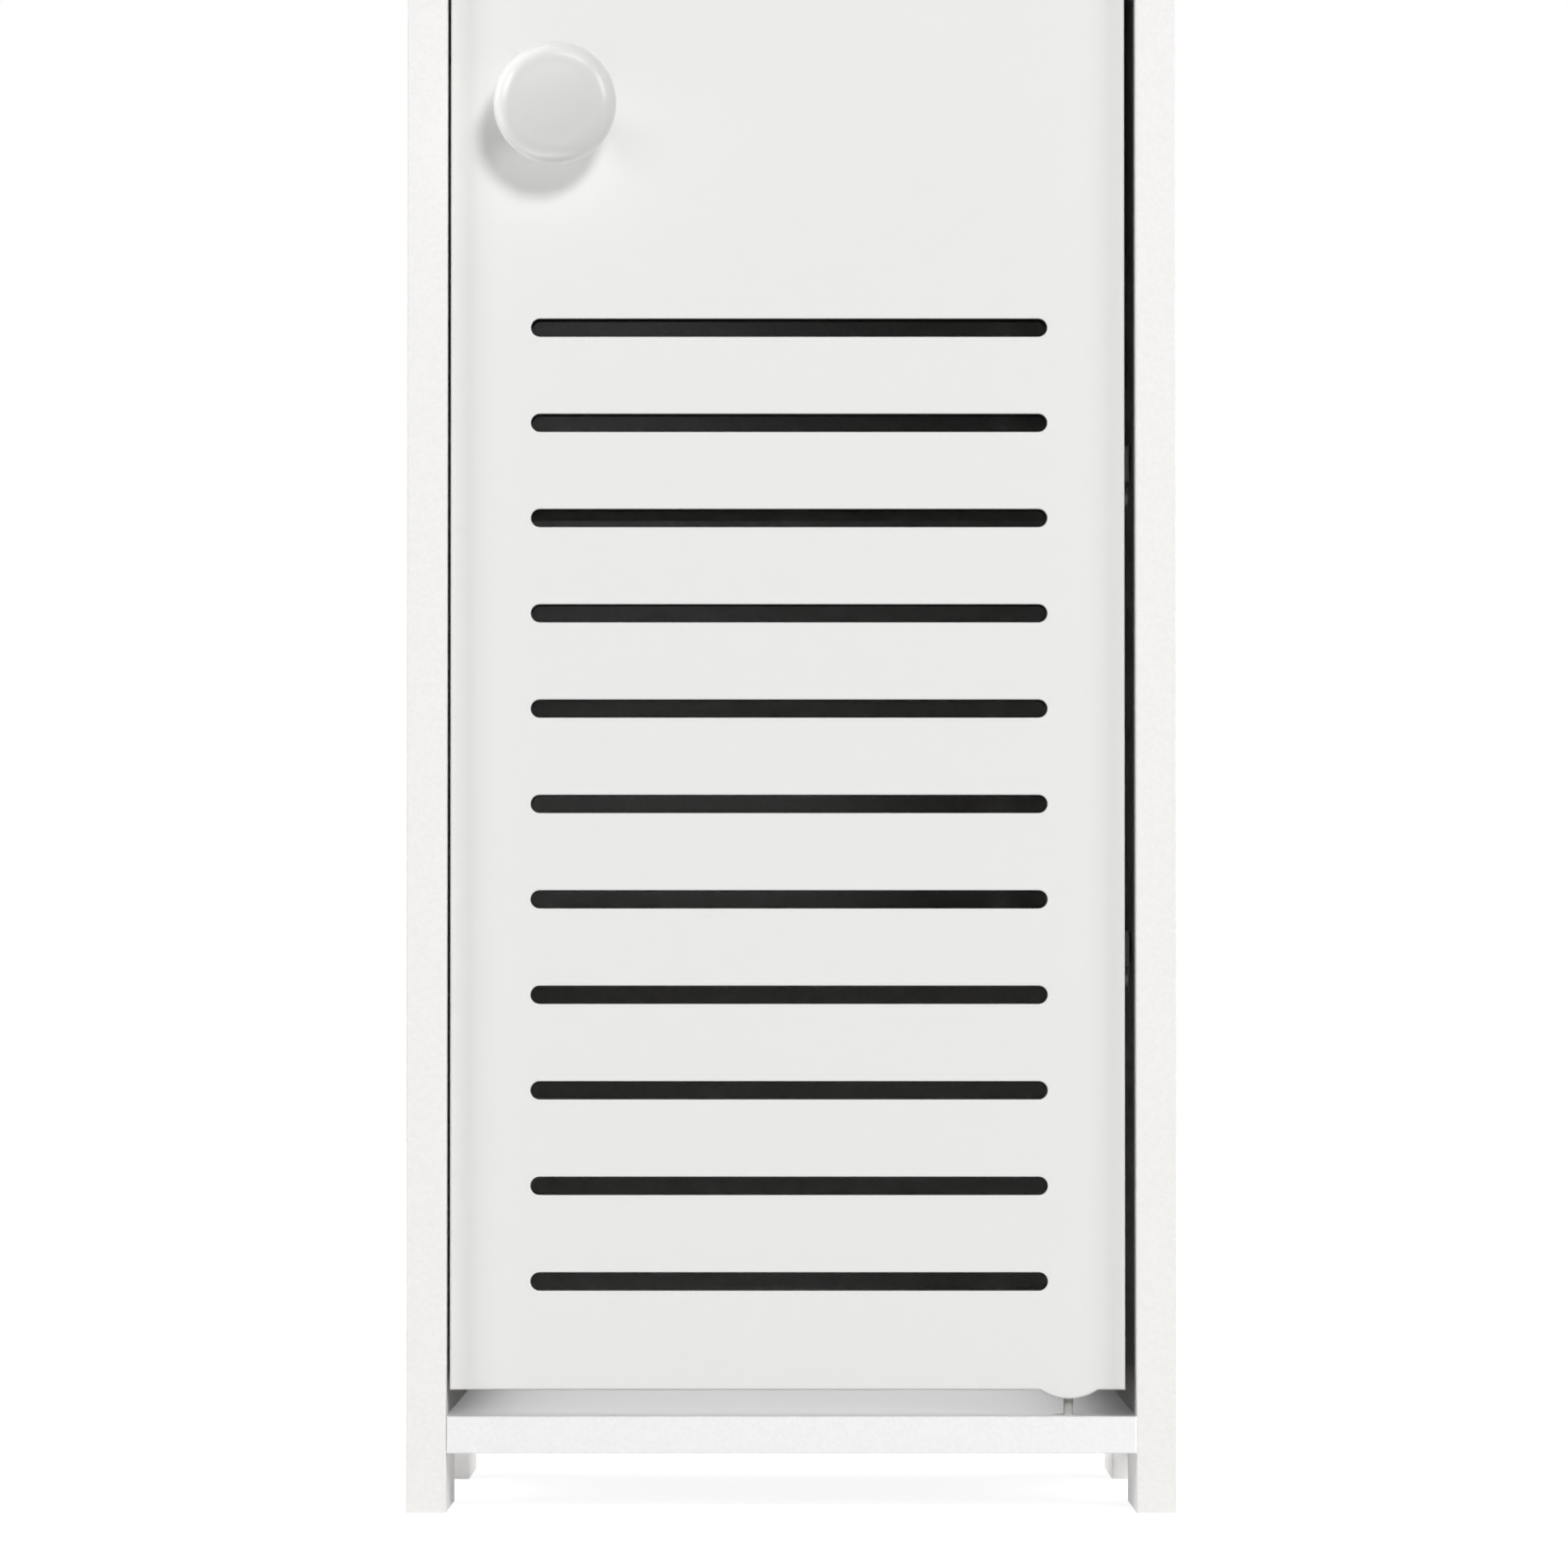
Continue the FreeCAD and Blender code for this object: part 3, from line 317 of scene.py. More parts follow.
def moulded_nylon(name, finish):
    """Natural white nylon: slightly waxy, with the faint sparkle of a spark-eroded mould."""
    made, tree, output, place = new_material(name)
    spark = add(tree, "ShaderNodeTexNoise", links={
        "Vector": place, "Scale": 1 / (0.4 * MM), "Detail": 2.0}).outputs["Fac"]
    nylon = list(finish.nylon_colour)
    tint = add(tree, "ShaderNodeMix", {"data_type": "RGBA"}, {
        MIX_BY: spark, MIX_FIRST: shade(nylon, 0.05), MIX_SECOND: nylon})
    gloss = add(tree, "ShaderNodeMapRange", links={
        "Value": spark, "From Min": NOISE_LOW, "From Max": NOISE_HIGH,
        "To Min": 0.42, "To Max": 0.55})
    normal = add(tree, "ShaderNodeBump", links={"Height": spark, "Distance": 0.012 * MM})
    shader = add(tree, "ShaderNodeBsdfPrincipled", links={
        "Base Color": tint.outputs[MIXED], "Roughness": gloss.outputs[0],
        "Normal": normal.outputs[0], "IOR": 1.53, "Subsurface Weight": 0.12,
        "Subsurface Radius": (1.0, 0.9, 0.8), "Subsurface Scale": 0.6 * MM})
    tree.links.new(shader.outputs[0], output.inputs["Surface"])
    return made


def zinc_plate(name):
    """Zinc-plated steel: pale blue-grey metal with a patchy passivated bloom."""
    made, tree, output, place = new_material(name)
    bloom = add(tree, "ShaderNodeTexNoise", links={
        "Vector": place, "Scale": 1 / (2.5 * MM), "Detail": 3.0}).outputs["Fac"]
    fine = add(tree, "ShaderNodeTexNoise", links={
        "Vector": place, "Scale": 1 / (0.15 * MM), "Detail": 1.0}).outputs["Fac"]
    tint = add(tree, "ShaderNodeMix", {"data_type": "RGBA"}, {
        MIX_BY: bloom, MIX_FIRST: linear("A9ADB3"), MIX_SECOND: linear("C9CCCE")})
    gloss = add(tree, "ShaderNodeMapRange", links={
        "Value": bloom, "From Min": NOISE_LOW, "From Max": NOISE_HIGH,
        "To Min": 0.26, "To Max": 0.42})
    normal = add(tree, "ShaderNodeBump", links={"Height": fine, "Distance": 0.003 * MM})
    shader = add(tree, "ShaderNodeBsdfPrincipled", links={
        "Base Color": tint.outputs[MIXED], "Metallic": 1.0, "Roughness": gloss.outputs[0],
        "Normal": normal.outputs[0]})
    tree.links.new(shader.outputs[0], output.inputs["Surface"])
    return made


def zinc_flake_coat(name, finish):
    """Steel under a matt zinc flake coat: pale grey, evenly sprayed, with faint metallic grain."""
    made, tree, output, place = new_material(name)
    flakes = add(tree, "ShaderNodeTexNoise", links={
        "Vector": place, "Scale": 1 / (0.2 * MM), "Detail": 2.0}).outputs["Fac"]
    coat = list(finish.pivot_colour)
    tint = add(tree, "ShaderNodeMix", {"data_type": "RGBA"}, {
        MIX_BY: flakes, MIX_FIRST: shade(coat, 0.08), MIX_SECOND: coat})
    gloss = add(tree, "ShaderNodeMapRange", links={
        "Value": flakes, "From Min": NOISE_LOW, "From Max": NOISE_HIGH,
        "To Min": 0.55, "To Max": 0.68})
    normal = add(tree, "ShaderNodeBump", links={"Height": flakes, "Distance": 0.004 * MM})
    shader = add(tree, "ShaderNodeBsdfPrincipled", links={
        "Base Color": tint.outputs[MIXED], "Metallic": 0.15, "Roughness": gloss.outputs[0],
        "Normal": normal.outputs[0]})
    tree.links.new(shader.outputs[0], output.inputs["Surface"])
    return made


def turned_brass(name):
    """Brass as turned: fine rings left by the tool along the axis."""
    made, tree, output, place = new_material(name)
    ring_pitch = 0.3 * MM
    rings = add(tree, "ShaderNodeTexWave", {"bands_direction": "Y"}, {
        "Vector": place, "Scale": 1 / ring_pitch / (2 * math.pi),
        "Distortion": 0.4}).outputs["Fac"]
    tint = add(tree, "ShaderNodeMix", {"data_type": "RGBA"}, {
        MIX_BY: rings, MIX_FIRST: linear("B08D45"), MIX_SECOND: linear("CBAA5E")})
    gloss = add(tree, "ShaderNodeMapRange", links={
        "Value": rings, "To Min": 0.25, "To Max": 0.38})
    normal = add(tree, "ShaderNodeBump", links={"Height": rings, "Distance": 0.01 * MM})
    shader = add(tree, "ShaderNodeBsdfPrincipled", links={
        "Base Color": tint.outputs[MIXED], "Metallic": 1.0, "Roughness": gloss.outputs[0],
        "Normal": normal.outputs[0]})
    tree.links.new(shader.outputs[0], output.inputs["Surface"])
    return made


def beech_dowel(name):
    """Unfinished beech: straight grain with short dark flecks along the dowel."""
    made, tree, output, place = new_material(name)
    drawn = add(tree, "ShaderNodeMapping", links={
        "Vector": place, "Scale": (0.12, 1.0, 1.0)}).outputs[0]
    fibres = add(tree, "ShaderNodeTexNoise", links={
        "Vector": drawn, "Scale": 1 / (0.6 * MM), "Detail": 3.0}).outputs["Fac"]
    tint = add(tree, "ShaderNodeMix", {"data_type": "RGBA"}, {
        MIX_BY: fibres, MIX_FIRST: linear("B98F66"), MIX_SECOND: linear("DDBC92")})
    gloss = add(tree, "ShaderNodeMapRange", links={
        "Value": fibres, "From Min": NOISE_LOW, "From Max": NOISE_HIGH,
        "To Min": 0.55, "To Max": 0.7})
    normal = add(tree, "ShaderNodeBump", links={"Height": fibres, "Distance": 0.03 * MM})
    shader = add(tree, "ShaderNodeBsdfPrincipled", links={
        "Base Color": tint.outputs[MIXED], "Roughness": gloss.outputs[0],
        "Normal": normal.outputs[0]})
    tree.links.new(shader.outputs[0], output.inputs["Surface"])
    return made


def sintered_ferrite(name):
    """Ferrite magnet: charcoal ceramic with a pressed, slightly pitted face."""
    made, tree, output, place = new_material(name)
    pits = add(tree, "ShaderNodeTexNoise", links={
        "Vector": place, "Scale": 1 / (0.25 * MM), "Detail": 3.0}).outputs["Fac"]
    tint = add(tree, "ShaderNodeMix", {"data_type": "RGBA"}, {
        MIX_BY: pits, MIX_FIRST: linear("242427"), MIX_SECOND: linear("38383B")})
    gloss = add(tree, "ShaderNodeMapRange", links={
        "Value": pits, "From Min": NOISE_LOW, "From Max": NOISE_HIGH,
        "To Min": 0.5, "To Max": 0.68})
    normal = add(tree, "ShaderNodeBump", links={"Height": pits, "Distance": 0.02 * MM})
    shader = add(tree, "ShaderNodeBsdfPrincipled", links={
        "Base Color": tint.outputs[MIXED], "Roughness": gloss.outputs[0],
        "Normal": normal.outputs[0]})
    tree.links.new(shader.outputs[0], output.inputs["Surface"])
    return made


def dress(piece, material):
    """Gives a piece one material."""
    piece.data.materials.clear()
    piece.data.materials.append(material)


# ---- pieces ----

def finished(bm, name, material, node):
    """Turns a bmesh into a piece that stands for a node: same body, one material, normals outward,
    the node hidden.
    """
    bmesh.ops.remove_doubles(bm, verts=bm.verts, dist=OUTLINE_MERGE)
    bmesh.ops.recalc_face_normals(bm, faces=bm.faces)
    mesh = bpy.data.meshes.new(name)
    bm.to_mesh(mesh)
    bm.free()
    for face in mesh.polygons:
        face.use_smooth = True
    piece = bpy.data.objects.new(name, mesh)
    bpy.context.scene.collection.objects.link(piece)
    dress(piece, material)
    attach(piece, frame["nodes"][node]["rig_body"])
    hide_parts(node)
    return piece


def round_edges(piece, width, segments, least_turn):
    """Rounds the edges of a piece at which its faces turn by at least some degrees."""
    bevel = piece.modifiers.new("edges", "BEVEL")
    bevel.width = width
    bevel.segments = segments
    bevel.limit_method = "ANGLE"
    bevel.angle_limit = math.radians(least_turn)


def node_bmesh(node):
    """The mesh of a node with its loose triangles joined."""
    bm = bmesh.new()
    bm.from_mesh(frame["nodes"][node].data)
    bmesh.ops.remove_doubles(bm, verts=bm.verts, dist=NODE_MERGE)
    return bm


def softened(node, width, material):
    """A copy of a node with its edges rounded, as moulding or tumbling leaves them."""
    bm = node_bmesh(node)
    bmesh.ops.dissolve_limit(bm, angle_limit=math.radians(1), verts=bm.verts, edges=bm.edges)
    piece = finished(bm, node + "_finish", material, node)
    round_edges(piece, width, segments=3, least_turn=40)
    piece.modifiers.new("normals", "WEIGHTED_NORMAL")


def arc(bm, last, centre, turn, steps):
    """Draws on from a vertex by turning it about a centre in the XZ plane. Returns the new end."""
    made = bmesh.ops.spin(bm, geom=[last], cent=centre, axis=(0, 1, 0), angle=turn, steps=steps)
    return next(item for item in made["geom_last"] if isinstance(item, bmesh.types.BMVert))


def line(bm, last, spot):
    """Draws on from a vertex to a spot. Returns the new end."""
    made = bm.verts.new(spot)
    bm.edges.new((last, made))
    return made


def put_in_order(bm):
    """Sorts vertices by place, and edges and faces by vertices. Extruding leaves a chance order."""
    def corners(part):
        return sorted(vert.index for vert in part.verts)

    for parts, key in (
            (bm.verts, lambda vert: tuple(vert.co)), (bm.edges, corners), (bm.faces, corners)):
        ranks = {part: rank for rank, part in enumerate(sorted(parts, key=key))}
        parts.sort(key=ranks.get)
        parts.index_update()


def lathe(bm, steps):
    """Turns the drawn outline once about the Z axis, and closes it on the axis."""
    bmesh.ops.spin(bm, geom=bm.verts[:] + bm.edges[:], cent=(0, 0, 0), axis=(0, 0, 1),
                   angle=2 * math.pi, steps=steps, use_merge=True)
    bmesh.ops.remove_doubles(bm, verts=bm.verts, dist=OUTLINE_MERGE)
    put_in_order(bm)


# A cross recess: half the width of an arm, as a share of the cross, the cross at its bottom, as a
# share of the cross at its top, and its depth, as a share of the head's height or depth.
CROSS_ARM, CROSS_BOTTOM, CROSS_DEPTH = 0.13, 0.45, 0.62
# How far its cutter stands above the head, as a share of its depth.
CUTTER_ABOVE = 0.2
# The rounding of a pan head, as a share of its height.
PAN_ROUNDING = 0.8
SCREW_STEPS, SCREW_EDGE = 32, 0.06 * MM


def new_object(name, bm):
    """A plain object from a bmesh, for use while a piece is made."""
    mesh = bpy.data.meshes.new(name)
    bmesh.ops.recalc_face_normals(bm, faces=bm.faces)
    bm.to_mesh(mesh)
    bm.free()
    made = bpy.data.objects.new(name, mesh)
    bpy.context.scene.collection.objects.link(made)
    return made


def cross_cutter(width, depth):
    """A tapering cross, point down, that cuts the recess of a screw."""
    bm = bmesh.new()
    bmesh.ops.create_grid(bm, x_segments=3, y_segments=3, size=width / 2)
    arm = width * CROSS_ARM
    for vert in bm.verts:
        for axis in (0, 1):
            if abs(vert.co[axis]) < width / 3:
                vert.co[axis] = math.copysign(arm, vert.co[axis])
    corners = [face for face in bm.faces
               if min(abs(level) for level in face.calc_center_median()[:2]) > arm]
    bmesh.ops.delete(bm, geom=corners, context="FACES")
    sides = bmesh.ops.extrude_face_region(bm, geom=bm.faces[:], use_keep_orig=True)
    lower = [item for item in sides["geom"] if isinstance(item, bmesh.types.BMVert)]
    bmesh.ops.translate(bm, verts=lower, vec=(0, 0, -depth))
    bmesh.ops.scale(bm, verts=lower, vec=(CROSS_BOTTOM, CROSS_BOTTOM, 1))
    upper = [vert for vert in bm.verts if vert not in lower]
    bmesh.ops.translate(bm, verts=upper, vec=(0, 0, depth * CUTTER_ABOVE))
    put_in_order(bm)
    return new_object("cutter", bm)


def cut_by(bm, cutter):
    """The bmesh with a cutter taken out of it."""
    blank = new_object("blank", bm)
    boolean = blank.modifiers.new("recess", "BOOLEAN")
    boolean.object = cutter
    boolean.operation = "DIFFERENCE"
    boolean.solver = "EXACT"
    bpy.context.view_layer.update()
    graph = bpy.context.evaluated_depsgraph_get()
    result = bmesh.new()
    result.from_mesh(bpy.data.meshes.new_from_object(blank.evaluated_get(graph)))
    for gone in (blank, cutter):
        bpy.data.objects.remove(gone)
    return result


def screw(head, tall, shank, length, recess):
    """A screw pointing down its own -Z, its seat at z 0. A head that stands 0 tall is sunk."""
    bm = bmesh.new()
    last = bm.verts.new((0, 0, tall))
    sink = 0.0 if tall else head - shank
    if tall:
        rounding = tall * PAN_ROUNDING
        last = line(bm, last, (head - rounding, 0, tall))
        last = arc(bm, last, (head - rounding, 0, tall - rounding), QUARTER, steps=6)
    for out, up in ((head, 0), (shank, -sink), (shank, shank - length), (0, -length)):
        last = line(bm, last, (out, 0, up))
    lathe(bm, SCREW_STEPS)
    cutter = cross_cutter(2 * head * recess, max(tall, sink) * CROSS_DEPTH)
    cutter.data.transform(Matrix.Translation((0, 0, tall)))
    return cut_by(bm, cutter)


def screw_set(name, node, master, spots, turn, material):
    """Copies of one screw at their spots, as one piece."""
    whole = bmesh.new()
    for spot in spots:
        mesh = bpy.data.meshes.new("copy")
        master.to_mesh(mesh)
        mesh.transform(Matrix.Translation(spot) @ turn)
        whole.from_mesh(mesh)
        bpy.data.meshes.remove(mesh)
    piece = finished(whole, name, material, node)
    round_edges(piece, SCREW_EDGE, segments=2, least_turn=30)


def islands(node):
    """The lowest and highest corner of each solid of a node."""
    bm = node_bmesh(node)
    left = set(bm.verts)
    found = []
    while left:
        reached = {left.pop()}
        edge = list(reached)
        while edge:
            vert = edge.pop()
            for link in vert.link_edges:
                other = link.other_vert(vert)
                if other in left:
                    left.discard(other)
                    reached.add(other)
                    edge.append(other)
        spots = [vert.co for vert in reached]
        low = Vector([min(spot[i] for spot in spots) for i in range(3)])
        high = Vector([max(spot[i] for spot in spots) for i in range(3)])
        found.append((low, high))
    bm.free()
    return sorted(found, key=lambda pair: (pair[0].z, pair[0].x))


class CABINET_OT_boards(bpy.types.Operator):
    """Finish the side panels, shelves, top and back"""

    bl_idname = "cabinet.boards"
    bl_label = "Finish Boards"

    def execute(self, context):
        finish = context.scene.cabinet_finish
        side = embossed_board("embossed_foamed_pvc_side", list(finish.side_colour), finish)
        shelf = embossed_board("embossed_foamed_pvc_shelf", list(finish.shelf_colour), finish)
        for node in ("side_panel_left", "side_panel_right"):
            dress(frame["nodes"][node], side)
        for node in ("bottom_shelf", "top_panel", "back_panel", "adjustable_shelf_lower",
                     "adjustable_shelf_upper"):
            dress(frame["nodes"][node], shelf)
        return {"FINISHED"}


class CABINET_OT_door(bpy.types.Operator):
    """Finish the slotted door"""

    bl_idname = "cabinet.door"
    bl_label = "Finish Door"

    def execute(self, context):
        finish = context.scene.cabinet_finish
        dress(frame["nodes"]["door_panel"], satin_door("satin_foamed_pvc_door", finish))
        return {"FINISHED"}


class CABINET_OT_knob(bpy.types.Operator):
    """Model the round mushroom knob and finish its insert"""

    bl_idname = "cabinet.knob"
    bl_label = "Make Knob"

    def execute(self, context):
        fittings = context.scene.cabinet_fittings
        finish = context.scene.cabinet_finish
        low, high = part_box("knob")
        radius = (high.x - low.x) / 2
        length = high.y - low.y
        # The head: height of its crown, radius of its face, and roundings of its rim and back.
        crown, face, rim, back = 1.5 * MM, 10 * MM, 6.2 * MM, 3.6 * MM
        girth = length - crown - rim
        dome = (face * face + crown * crown) / (2 * crown)
        # The stem: its narrowest radius and where that is, its foot, and the bore for the insert.
        neck, neck_at, base, base_edge = 6.2 * MM, 6.5 * MM, 10.5 * MM, 1.6 * MM
        bore, bore_depth = 3.45 * MM, 12.5 * MM
        bm = bmesh.new()
        last = bm.verts.new((0, 0, length))
        last = arc(bm, last, (0, 0, length - dome), math.asin(face / dome), steps=6)
        last = arc(bm, last, (radius - rim, 0, girth), QUARTER, steps=8)
        last = arc(bm, last, (radius - back, 0, girth), QUARTER, steps=6)
        for out, up in (
                (neck + 1.2 * MM, neck_at + 2.5 * MM), (neck, neck_at),
                (neck + 1.0 * MM, neck_at - 2.6 * MM),
                (base - 0.6 * MM, base_edge + 0.25 * MM), (base, base_edge - 0.4 * MM), (base, 0),
                (bore, 0), (bore, bore_depth), (0, bore_depth)):
            last = line(bm, last, (out, 0, up))
        lathe(bm, fittings.knob_steps)
        middle = (low + high) / 2
        onto_door = Matrix.Translation((middle.x, high.y, middle.z))
        turn = Matrix.Rotation(QUARTER, 4, "X")
        bmesh.ops.transform(bm, matrix=onto_door @ turn, verts=bm.verts)
        knob = finished(bm, "knob_moulding", glossy_knob("glossy_abs", finish), "knob")
        smooth = knob.modifiers.new("smooth", "SUBSURF")
        smooth.levels = smooth.render_levels = 2
        dress(frame["nodes"]["knob_insert"], turned_brass("turned_brass"))
        return {"FINISHED"}


class CABINET_OT_screws(bpy.types.Operator):
    """Model the screws that show, and finish the hidden screws and dowels"""

    bl_idname = "cabinet.screws"
    bl_label = "Make Screws"

    def execute(self, context):
        recess = context.scene.cabinet_fittings.recess_width
        zinc = zinc_plate("zinc_plated_steel")
        for node in ("carcass_screws_left", "carcass_screws_right"):
            dress(frame["nodes"][node], zinc)
        dress(frame["nodes"]["carcass_dowels"], beech_dowel("unfinished_beech"))
        # Sizes of a screw: radius and height of its head, radius and length of its shank.
        head, tall, shank, length = 3.0 * MM, 1.6 * MM, 1.2 * MM, 8.0 * MM
        tack = screw(head, tall, shank, length, recess)
        to_back = Matrix.Rotation(-QUARTER, 4, "X")
        back = [Vector(((low.x + high.x) / 2, high.y - tall, (low.z + high.z) / 2))
                for low, high in islands("back_panel_screws")]
        screw_set("back_panel_pan_screws", "back_panel_screws", tack, back, to_back, zinc)
        to_right = Matrix.Rotation(QUARTER, 4, "Y")
        catch = [Vector((high.x - tall, (low.y + high.y) / 2, (low.z + high.z) / 2))
                 for low, high in islands("catch_screws")]
        screw_set("catch_pan_screws", "catch_screws", tack, catch, to_right, zinc)
        tack.free()
        for name, node, sizes in (
                ("knob_pan_screw", "knob_screw", (4.0 * MM, 2.2 * MM, 1.95 * MM, 20.55 * MM)),
                ("strike_flat_screw", "strike_screw", (2.5 * MM, 0.0, 1.1 * MM, 7.0 * MM))):
            low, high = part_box(node)
            made = screw(*sizes, recess)
            spot = Vector(((low.x + high.x) / 2, high.y - sizes[1], (low.z + high.z) / 2))
            screw_set(name, node, made, [spot], to_back, zinc)
            made.free()
        return {"FINISHED"}


class CABINET_OT_fittings(bpy.types.Operator):
    """Round and finish the catch, pivots, shelf pins and screw caps"""

    bl_idname = "cabinet.fittings"
    bl_label = "Make Fittings"

    def execute(self, context):
        fittings = context.scene.cabinet_fittings
        finish = context.scene.cabinet_finish
        nylon = moulded_nylon("natural_white_nylon", finish)
        zinc = bpy.data.materials["zinc_plated_steel"]
        softened("catch_housing", fittings.housing_edge, nylon)
        for node in ("lower_pivot_bush", "door_top_bush", "screw_caps_left", "screw_caps_right"):
            softened(node, fittings.small_edge, nylon)
        coat = zinc_flake_coat("zinc_flake_coated_steel", finish)
        for node in ("lower_pivot_pin", "upper_pivot_pin"):
            dress(frame["nodes"][node], coat)
        for node in ("shelf_pins_lower", "shelf_pins_upper", "catch_pole_plates", "strike_plate"):
            softened(node, fittings.small_edge, zinc)
        dress(frame["nodes"]["catch_magnet"], sintered_ferrite("sintered_ferrite"))
        return {"FINISHED"}


# ---- studio ----

WHITE = (1, 1, 1, 1)


def rectangle_lamp(name, width, height, energy):
    """A rectangular lamp at the origin that faces down."""
    lamp = bpy.data.lights.new(name, "AREA")
    lamp.shape = "RECTANGLE"
    lamp.size = width
    lamp.size_y = height
    lamp.energy = energy
    holder = bpy.data.objects.new(name, lamp)
    bpy.context.scene.collection.objects.link(holder)
    return holder


def softbox(name, target, direction, distance, width, height, level):
    """A softbox that faces a target. level is what it adds to a white surface that faces it."""
    holder = rectangle_lamp(name, width, height, level * (math.pi * distance) ** 2)
    back = Vector(direction).normalized()
    holder.location = Vector(target) + back * distance
    holder.rotation_euler = (-back).to_track_quat("-Z", "Y").to_euler()
    return holder


def light_only(lamp, pieces, shaded_by_all=False):
    """Keeps a lamp to some pieces. Unless all shade it, only these pieces do."""
    taken = bpy.data.collections.new(lamp.name + "_takers")
    for piece in pieces:
        taken.objects.link(piece)
    lamp.light_linking.receiver_collection = taken
    if not shaded_by_all:
        lamp.light_linking.blocker_collection = taken


def leave_out(lamp, role, piece):
    """Keeps one piece out of a role towards a lamp: receiver takes its light, blocker shades it."""
    passed = bpy.data.collections.new(f"{lamp.name}_{role}_left_out")
    passed.objects.link(piece)
    passed.collection_objects[0].light_linking.link_state = "EXCLUDE"
    setattr(lamp.light_linking, role + "_collection", passed)


def near_panel(name, low, high, facing, level, pieces, shaded_by_all=False):
    """A flat lamp that fills a box without thickness, close to the only pieces that take it."""
    low, high = Vector(low), Vector(high)
    turn = Vector(facing).to_track_quat("-Z", "Y")
    across = turn.inverted() @ (high - low)
    width, height = abs(across.x), abs(across.y)
    holder = rectangle_lamp(name, width, height, level * math.pi * width * height)
    holder.data.cycles.use_multiple_importance_sampling = False
    holder.data.cycles.max_bounces = 0
    holder.location = (low + high) / 2
    holder.rotation_euler = turn.to_euler()
    holder.visible_camera = holder.visible_glossy = False
    light_only(holder, pieces, shaded_by_all)


def seen(tree):
    """1 for rays that show a surface, straight or in metal or glass, 0 for those that light it."""
    path = add(tree, "ShaderNodeLightPath")
    either = add(tree, "ShaderNodeMath", {"operation": "MAXIMUM"}, {
        0: path.outputs["Is Camera Ray"], 1: path.outputs["Is Glossy Ray"]}).outputs[0]
    return add(tree, "ShaderNodeMath", {"operation": "MAXIMUM"}, {
        0: either, 1: path.outputs["Is Transmission Ray"]}).outputs[0]


def lay_floor():
    """A floor of white paper. It shows as white with the cabinet's shadow on it."""
    half_width = 6.0
    bm = bmesh.new()
    bmesh.ops.create_grid(bm, x_segments=1, y_segments=1, size=half_width)
    mesh = bpy.data.meshes.new("studio_floor")
    bm.to_mesh(mesh)
    bm.free()
    floor = bpy.data.objects.new("studio_floor", mesh)
    bpy.context.scene.collection.objects.link(floor)
    made, tree, output, _ = new_material("white_paper_floor")
    paper = add(tree, "ShaderNodeBsdfDiffuse", links={"Color": linear("CCCCCC")})
    shadowed = add(tree, "ShaderNodeBsdfDiffuse", links={"Color": linear("A2A2A2")})
    glow = add(tree, "ShaderNodeEmission", links={"Color": WHITE, "Strength": 0.9})
    shown = add(tree, "ShaderNodeAddShader", links={0: shadowed.outputs[0], 1: glow.outputs[0]})
    mixed = add(tree, "ShaderNodeMixShader", links={
        0: seen(tree), 1: paper.outputs[0], 2: shown.outputs[0]})
    tree.links.new(mixed.outputs[0], output.inputs["Surface"])
    dress(floor, made)


def hang_backdrop(ambient):
    """A white world that gives little light."""
    world = bpy.data.worlds.new("studio")
    world.use_nodes = True
    tree = world.node_tree
    tree.nodes.clear()
    around = add(tree, "ShaderNodeBackground", links={"Color": WHITE, "Strength": ambient})
    backdrop = add(tree, "ShaderNodeBackground", links={"Color": WHITE, "Strength": 1.0})
    both = add(tree, "ShaderNodeMixShader", links={
        0: seen(tree), 1: around.outputs[0], 2: backdrop.outputs[0]})
    add(tree, "ShaderNodeOutputWorld", links={"Surface": both.outputs[0]})
    bpy.context.scene.world = world


def light_cabinet(studio, knob, shelf):
    """Softboxes for the whole cabinet. The bottom shelf takes one of its own for those in front."""
    low, high = (Vector(corner) for corner in CAD_BOX)
    front = Vector((0, low.y, ((low + high) / 2).z))
    far, small, narrow, large = 8.0, 1.5, 2.4, 3.6
    key = softbox("key", front, (0.26, -1, 0.42), far, small, small, studio.key)
    fills = [softbox(name, front, (across, -1, 0.9), far, narrow, large, studio.side_fill)
             for name, across in (("left_fill", -1.84), ("right_fill", 1.84))]
    for fill in fills:
        leave_out(fill, "blocker", knob)
    for lamp in [key] + fills:
        leave_out(lamp, "receiver", shelf)
    edge_light = softbox("shelf_edge_light", front, (0.9, -1, 0.08), far, small, small,
                         studio.shelf_edge_light)
    light_only(edge_light, [shelf], shaded_by_all=True)
    key.visible_glossy = edge_light.visible_glossy = False
    for name, across in (("left_back_fill", -1.2), ("right_back_fill", 1.2)):
        softbox(name, front, (across, 1, 0.7), far, large, large, studio.back_fill)


def light_knob(studio, knob):
    """Small lamps that draw the highlights of the knob."""
    middle = sum((Vector(corner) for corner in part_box("knob")), Vector()) / 2
    near = 0.3
    for name, direction, width, height, level in (
            ("knob_rim_light", (-1, 0.1, 0.6), 0.35, 0.8, studio.rim_light),
            ("knob_arc_light", (0.3, -0.6, 0.9), 0.14, 0.06, studio.arc_light),
            ("knob_low_light", (-0.1, 0.1, -1), 0.3, 0.3, studio.knob_low_light)):
        light_only(softbox(name, middle, direction, near, width, height, level), [knob])


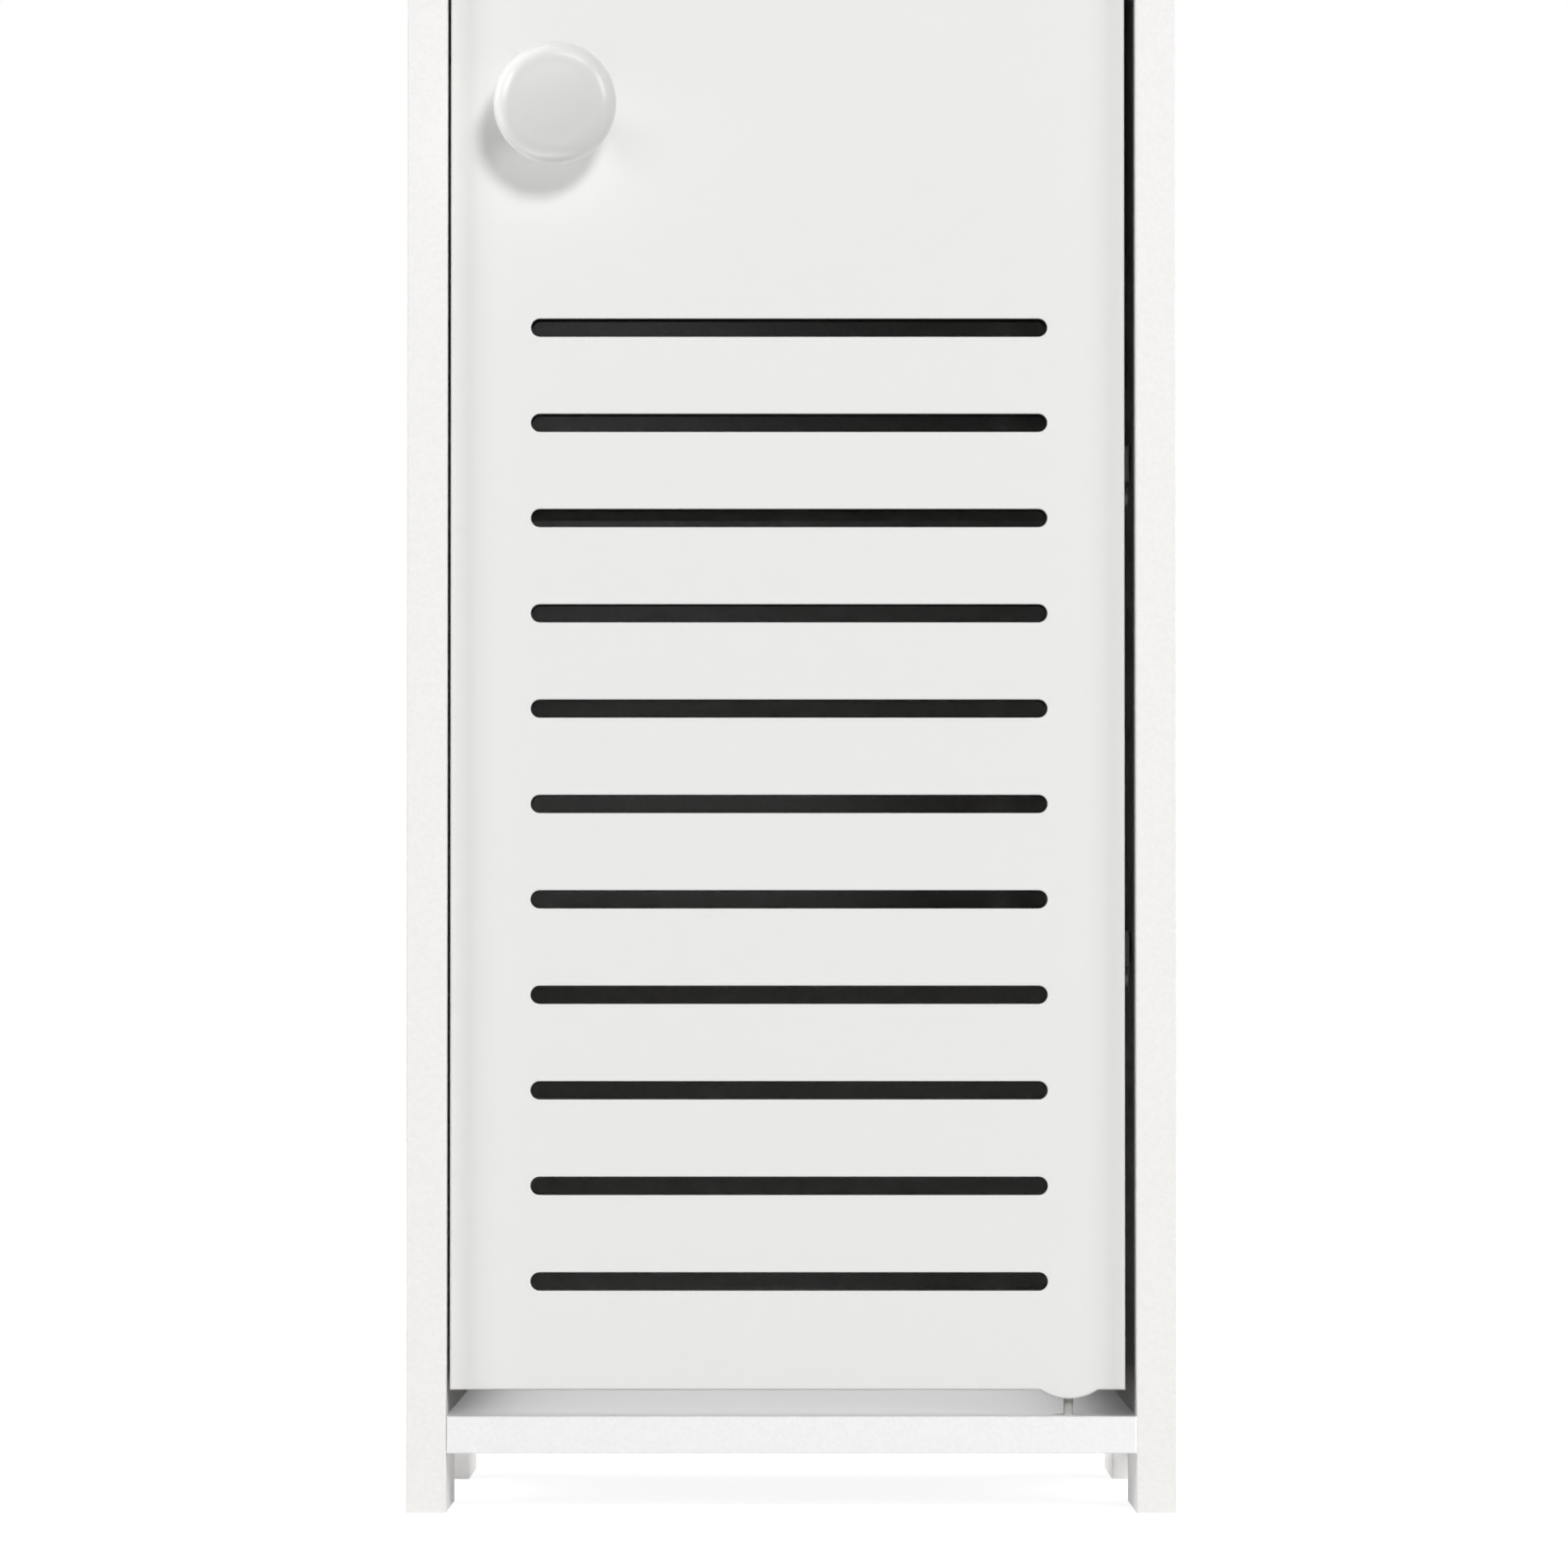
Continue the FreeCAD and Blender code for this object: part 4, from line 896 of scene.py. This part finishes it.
def light_nooks(studio, shelf):
    """Near panels for the shelf behind the door, the walls beside it, the back and the feet."""
    sides = [frame["nodes"][name] for name in ("side_panel_left", "side_panel_right")]
    shelf_low, shelf_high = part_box("bottom_shelf")
    left_free, right_free, above, inset = 5.5 * MM, 12 * MM, 12.5 * MM, 3 * MM
    for name, level, pieces in (
            ("shelf_light", studio.shelf_light, [shelf]),
            ("wall_light", studio.wall_light, sides)):
        near_panel(name, (shelf_low.x + left_free, shelf_low.y + inset, shelf_high.z + above),
                   (shelf_high.x - right_free, shelf_high.y, shelf_high.z + above), (0, 0, -1),
                   level, pieces)

    back_low, back_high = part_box("back_panel")
    strip_left, strip_right, strip_height = 15 * MM, 50 * MM, 180 * MM
    inward = back_low.y - 80 * MM
    near_panel("back_light", (back_low.x + strip_left, inward, back_high.z - strip_height),
               (back_low.x + strip_right, inward, back_high.z), (0, 1, 0), studio.back_light,
               [frame["nodes"]["back_panel"]])

    foot, before_foot, beside_foot, gap = 52 * MM, 13 * MM, 20 * MM, 1 * MM
    under = shelf_low.z
    rear = CAD_BOX[1][1] - foot
    near_panel("rear_feet_light", (shelf_low.x, rear - before_foot, gap),
               (shelf_high.x, rear - before_foot, under), (0, 1, 0), studio.rear_feet_light,
               sides, shaded_by_all=True)
    for name, side, y, level in (
            ("left_foot_light", -1, shelf_low.y, studio.left_foot_light),
            ("right_foot_light", 1, shelf_low.y, studio.right_foot_light),
            ("left_rear_foot_light", -1, rear, studio.rear_feet_light),
            ("right_rear_foot_light", 1, rear, studio.rear_feet_light)):
        x = side * (shelf_high.x - beside_foot)
        near_panel(name, (x, y + gap, gap), (x, y + foot, under), (side, 0, 0), level, sides,
                   shaded_by_all=True)


def place_camera(studio):
    """A long lens low in front of the cabinet, a little left of its middle."""
    lens = bpy.data.cameras.new("camera")
    lens.lens = studio.camera_lens
    lens.sensor_width = 36.0
    lens.shift_y = 0.045
    holder = bpy.data.objects.new("camera", lens)
    bpy.context.scene.collection.objects.link(holder)
    aside = -1.9 * MM
    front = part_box("side_panel_left")[0].y
    holder.location = (aside, front - studio.camera_distance, studio.camera_height)
    holder.rotation_euler = (QUARTER + studio.camera_tilt, 0, 0)
    bpy.context.scene.camera = holder


class CABINET_OT_studio(bpy.types.Operator):
    """Build the pale floor, the soft light and the camera"""

    bl_idname = "cabinet.studio"
    bl_label = "Make Studio"

    def execute(self, context):
        studio = context.scene.cabinet_studio
        knob = bpy.data.objects["knob_moulding"]
        shelf = frame["nodes"]["bottom_shelf"]
        lay_floor()
        hang_backdrop(studio.ambient)
        light_cabinet(studio, knob, shelf)
        light_knob(studio, knob)
        light_nooks(studio, shelf)
        place_camera(studio)
        context.scene.view_settings.view_transform = "Standard"
        return {"FINISHED"}


class CABINET_PT_sidebar(bpy.types.Panel):
    """The cabinet's sizes, colours and steps"""

    bl_idname = "CABINET_PT_sidebar"
    bl_label = "Louvred Door Cabinet"
    bl_space_type = "VIEW_3D"
    bl_region_type = "UI"
    bl_category = "Cabinet"

    def draw(self, context):
        for group in GROUPS:
            box = self.layout.box()
            settings = getattr(context.scene, group)
            for name in GROUPS[group].__annotations__:
                box.prop(settings, name)
        for operator in OPERATORS:
            self.layout.operator(operator.bl_idname)


GROUPS = {
    "cabinet_finish": CabinetFinish,
    "cabinet_fittings": CabinetFittings,
    "cabinet_studio": CabinetStudio,
}
OPERATORS = (
    CABINET_OT_boards, CABINET_OT_door, CABINET_OT_knob, CABINET_OT_screws, CABINET_OT_fittings,
    CABINET_OT_studio)


def register():
    for name, group in GROUPS.items():
        bpy.utils.register_class(group)
        setattr(bpy.types.Scene, name, bpy.props.PointerProperty(type=group))
    for kind in OPERATORS + (CABINET_PT_sidebar,):
        bpy.utils.register_class(kind)


def unregister():
    for kind in reversed(OPERATORS + (CABINET_PT_sidebar,)):
        bpy.utils.unregister_class(kind)
    for name, group in reversed(GROUPS.items()):
        delattr(bpy.types.Scene, name)
        bpy.utils.unregister_class(group)


def main():
    register()
    bpy.ops.cabinet.boards()
    bpy.ops.cabinet.door()
    bpy.ops.cabinet.knob()
    bpy.ops.cabinet.screws()
    bpy.ops.cabinet.fittings()
    bpy.ops.cabinet.studio()


if __name__ == "__main__":
    main()
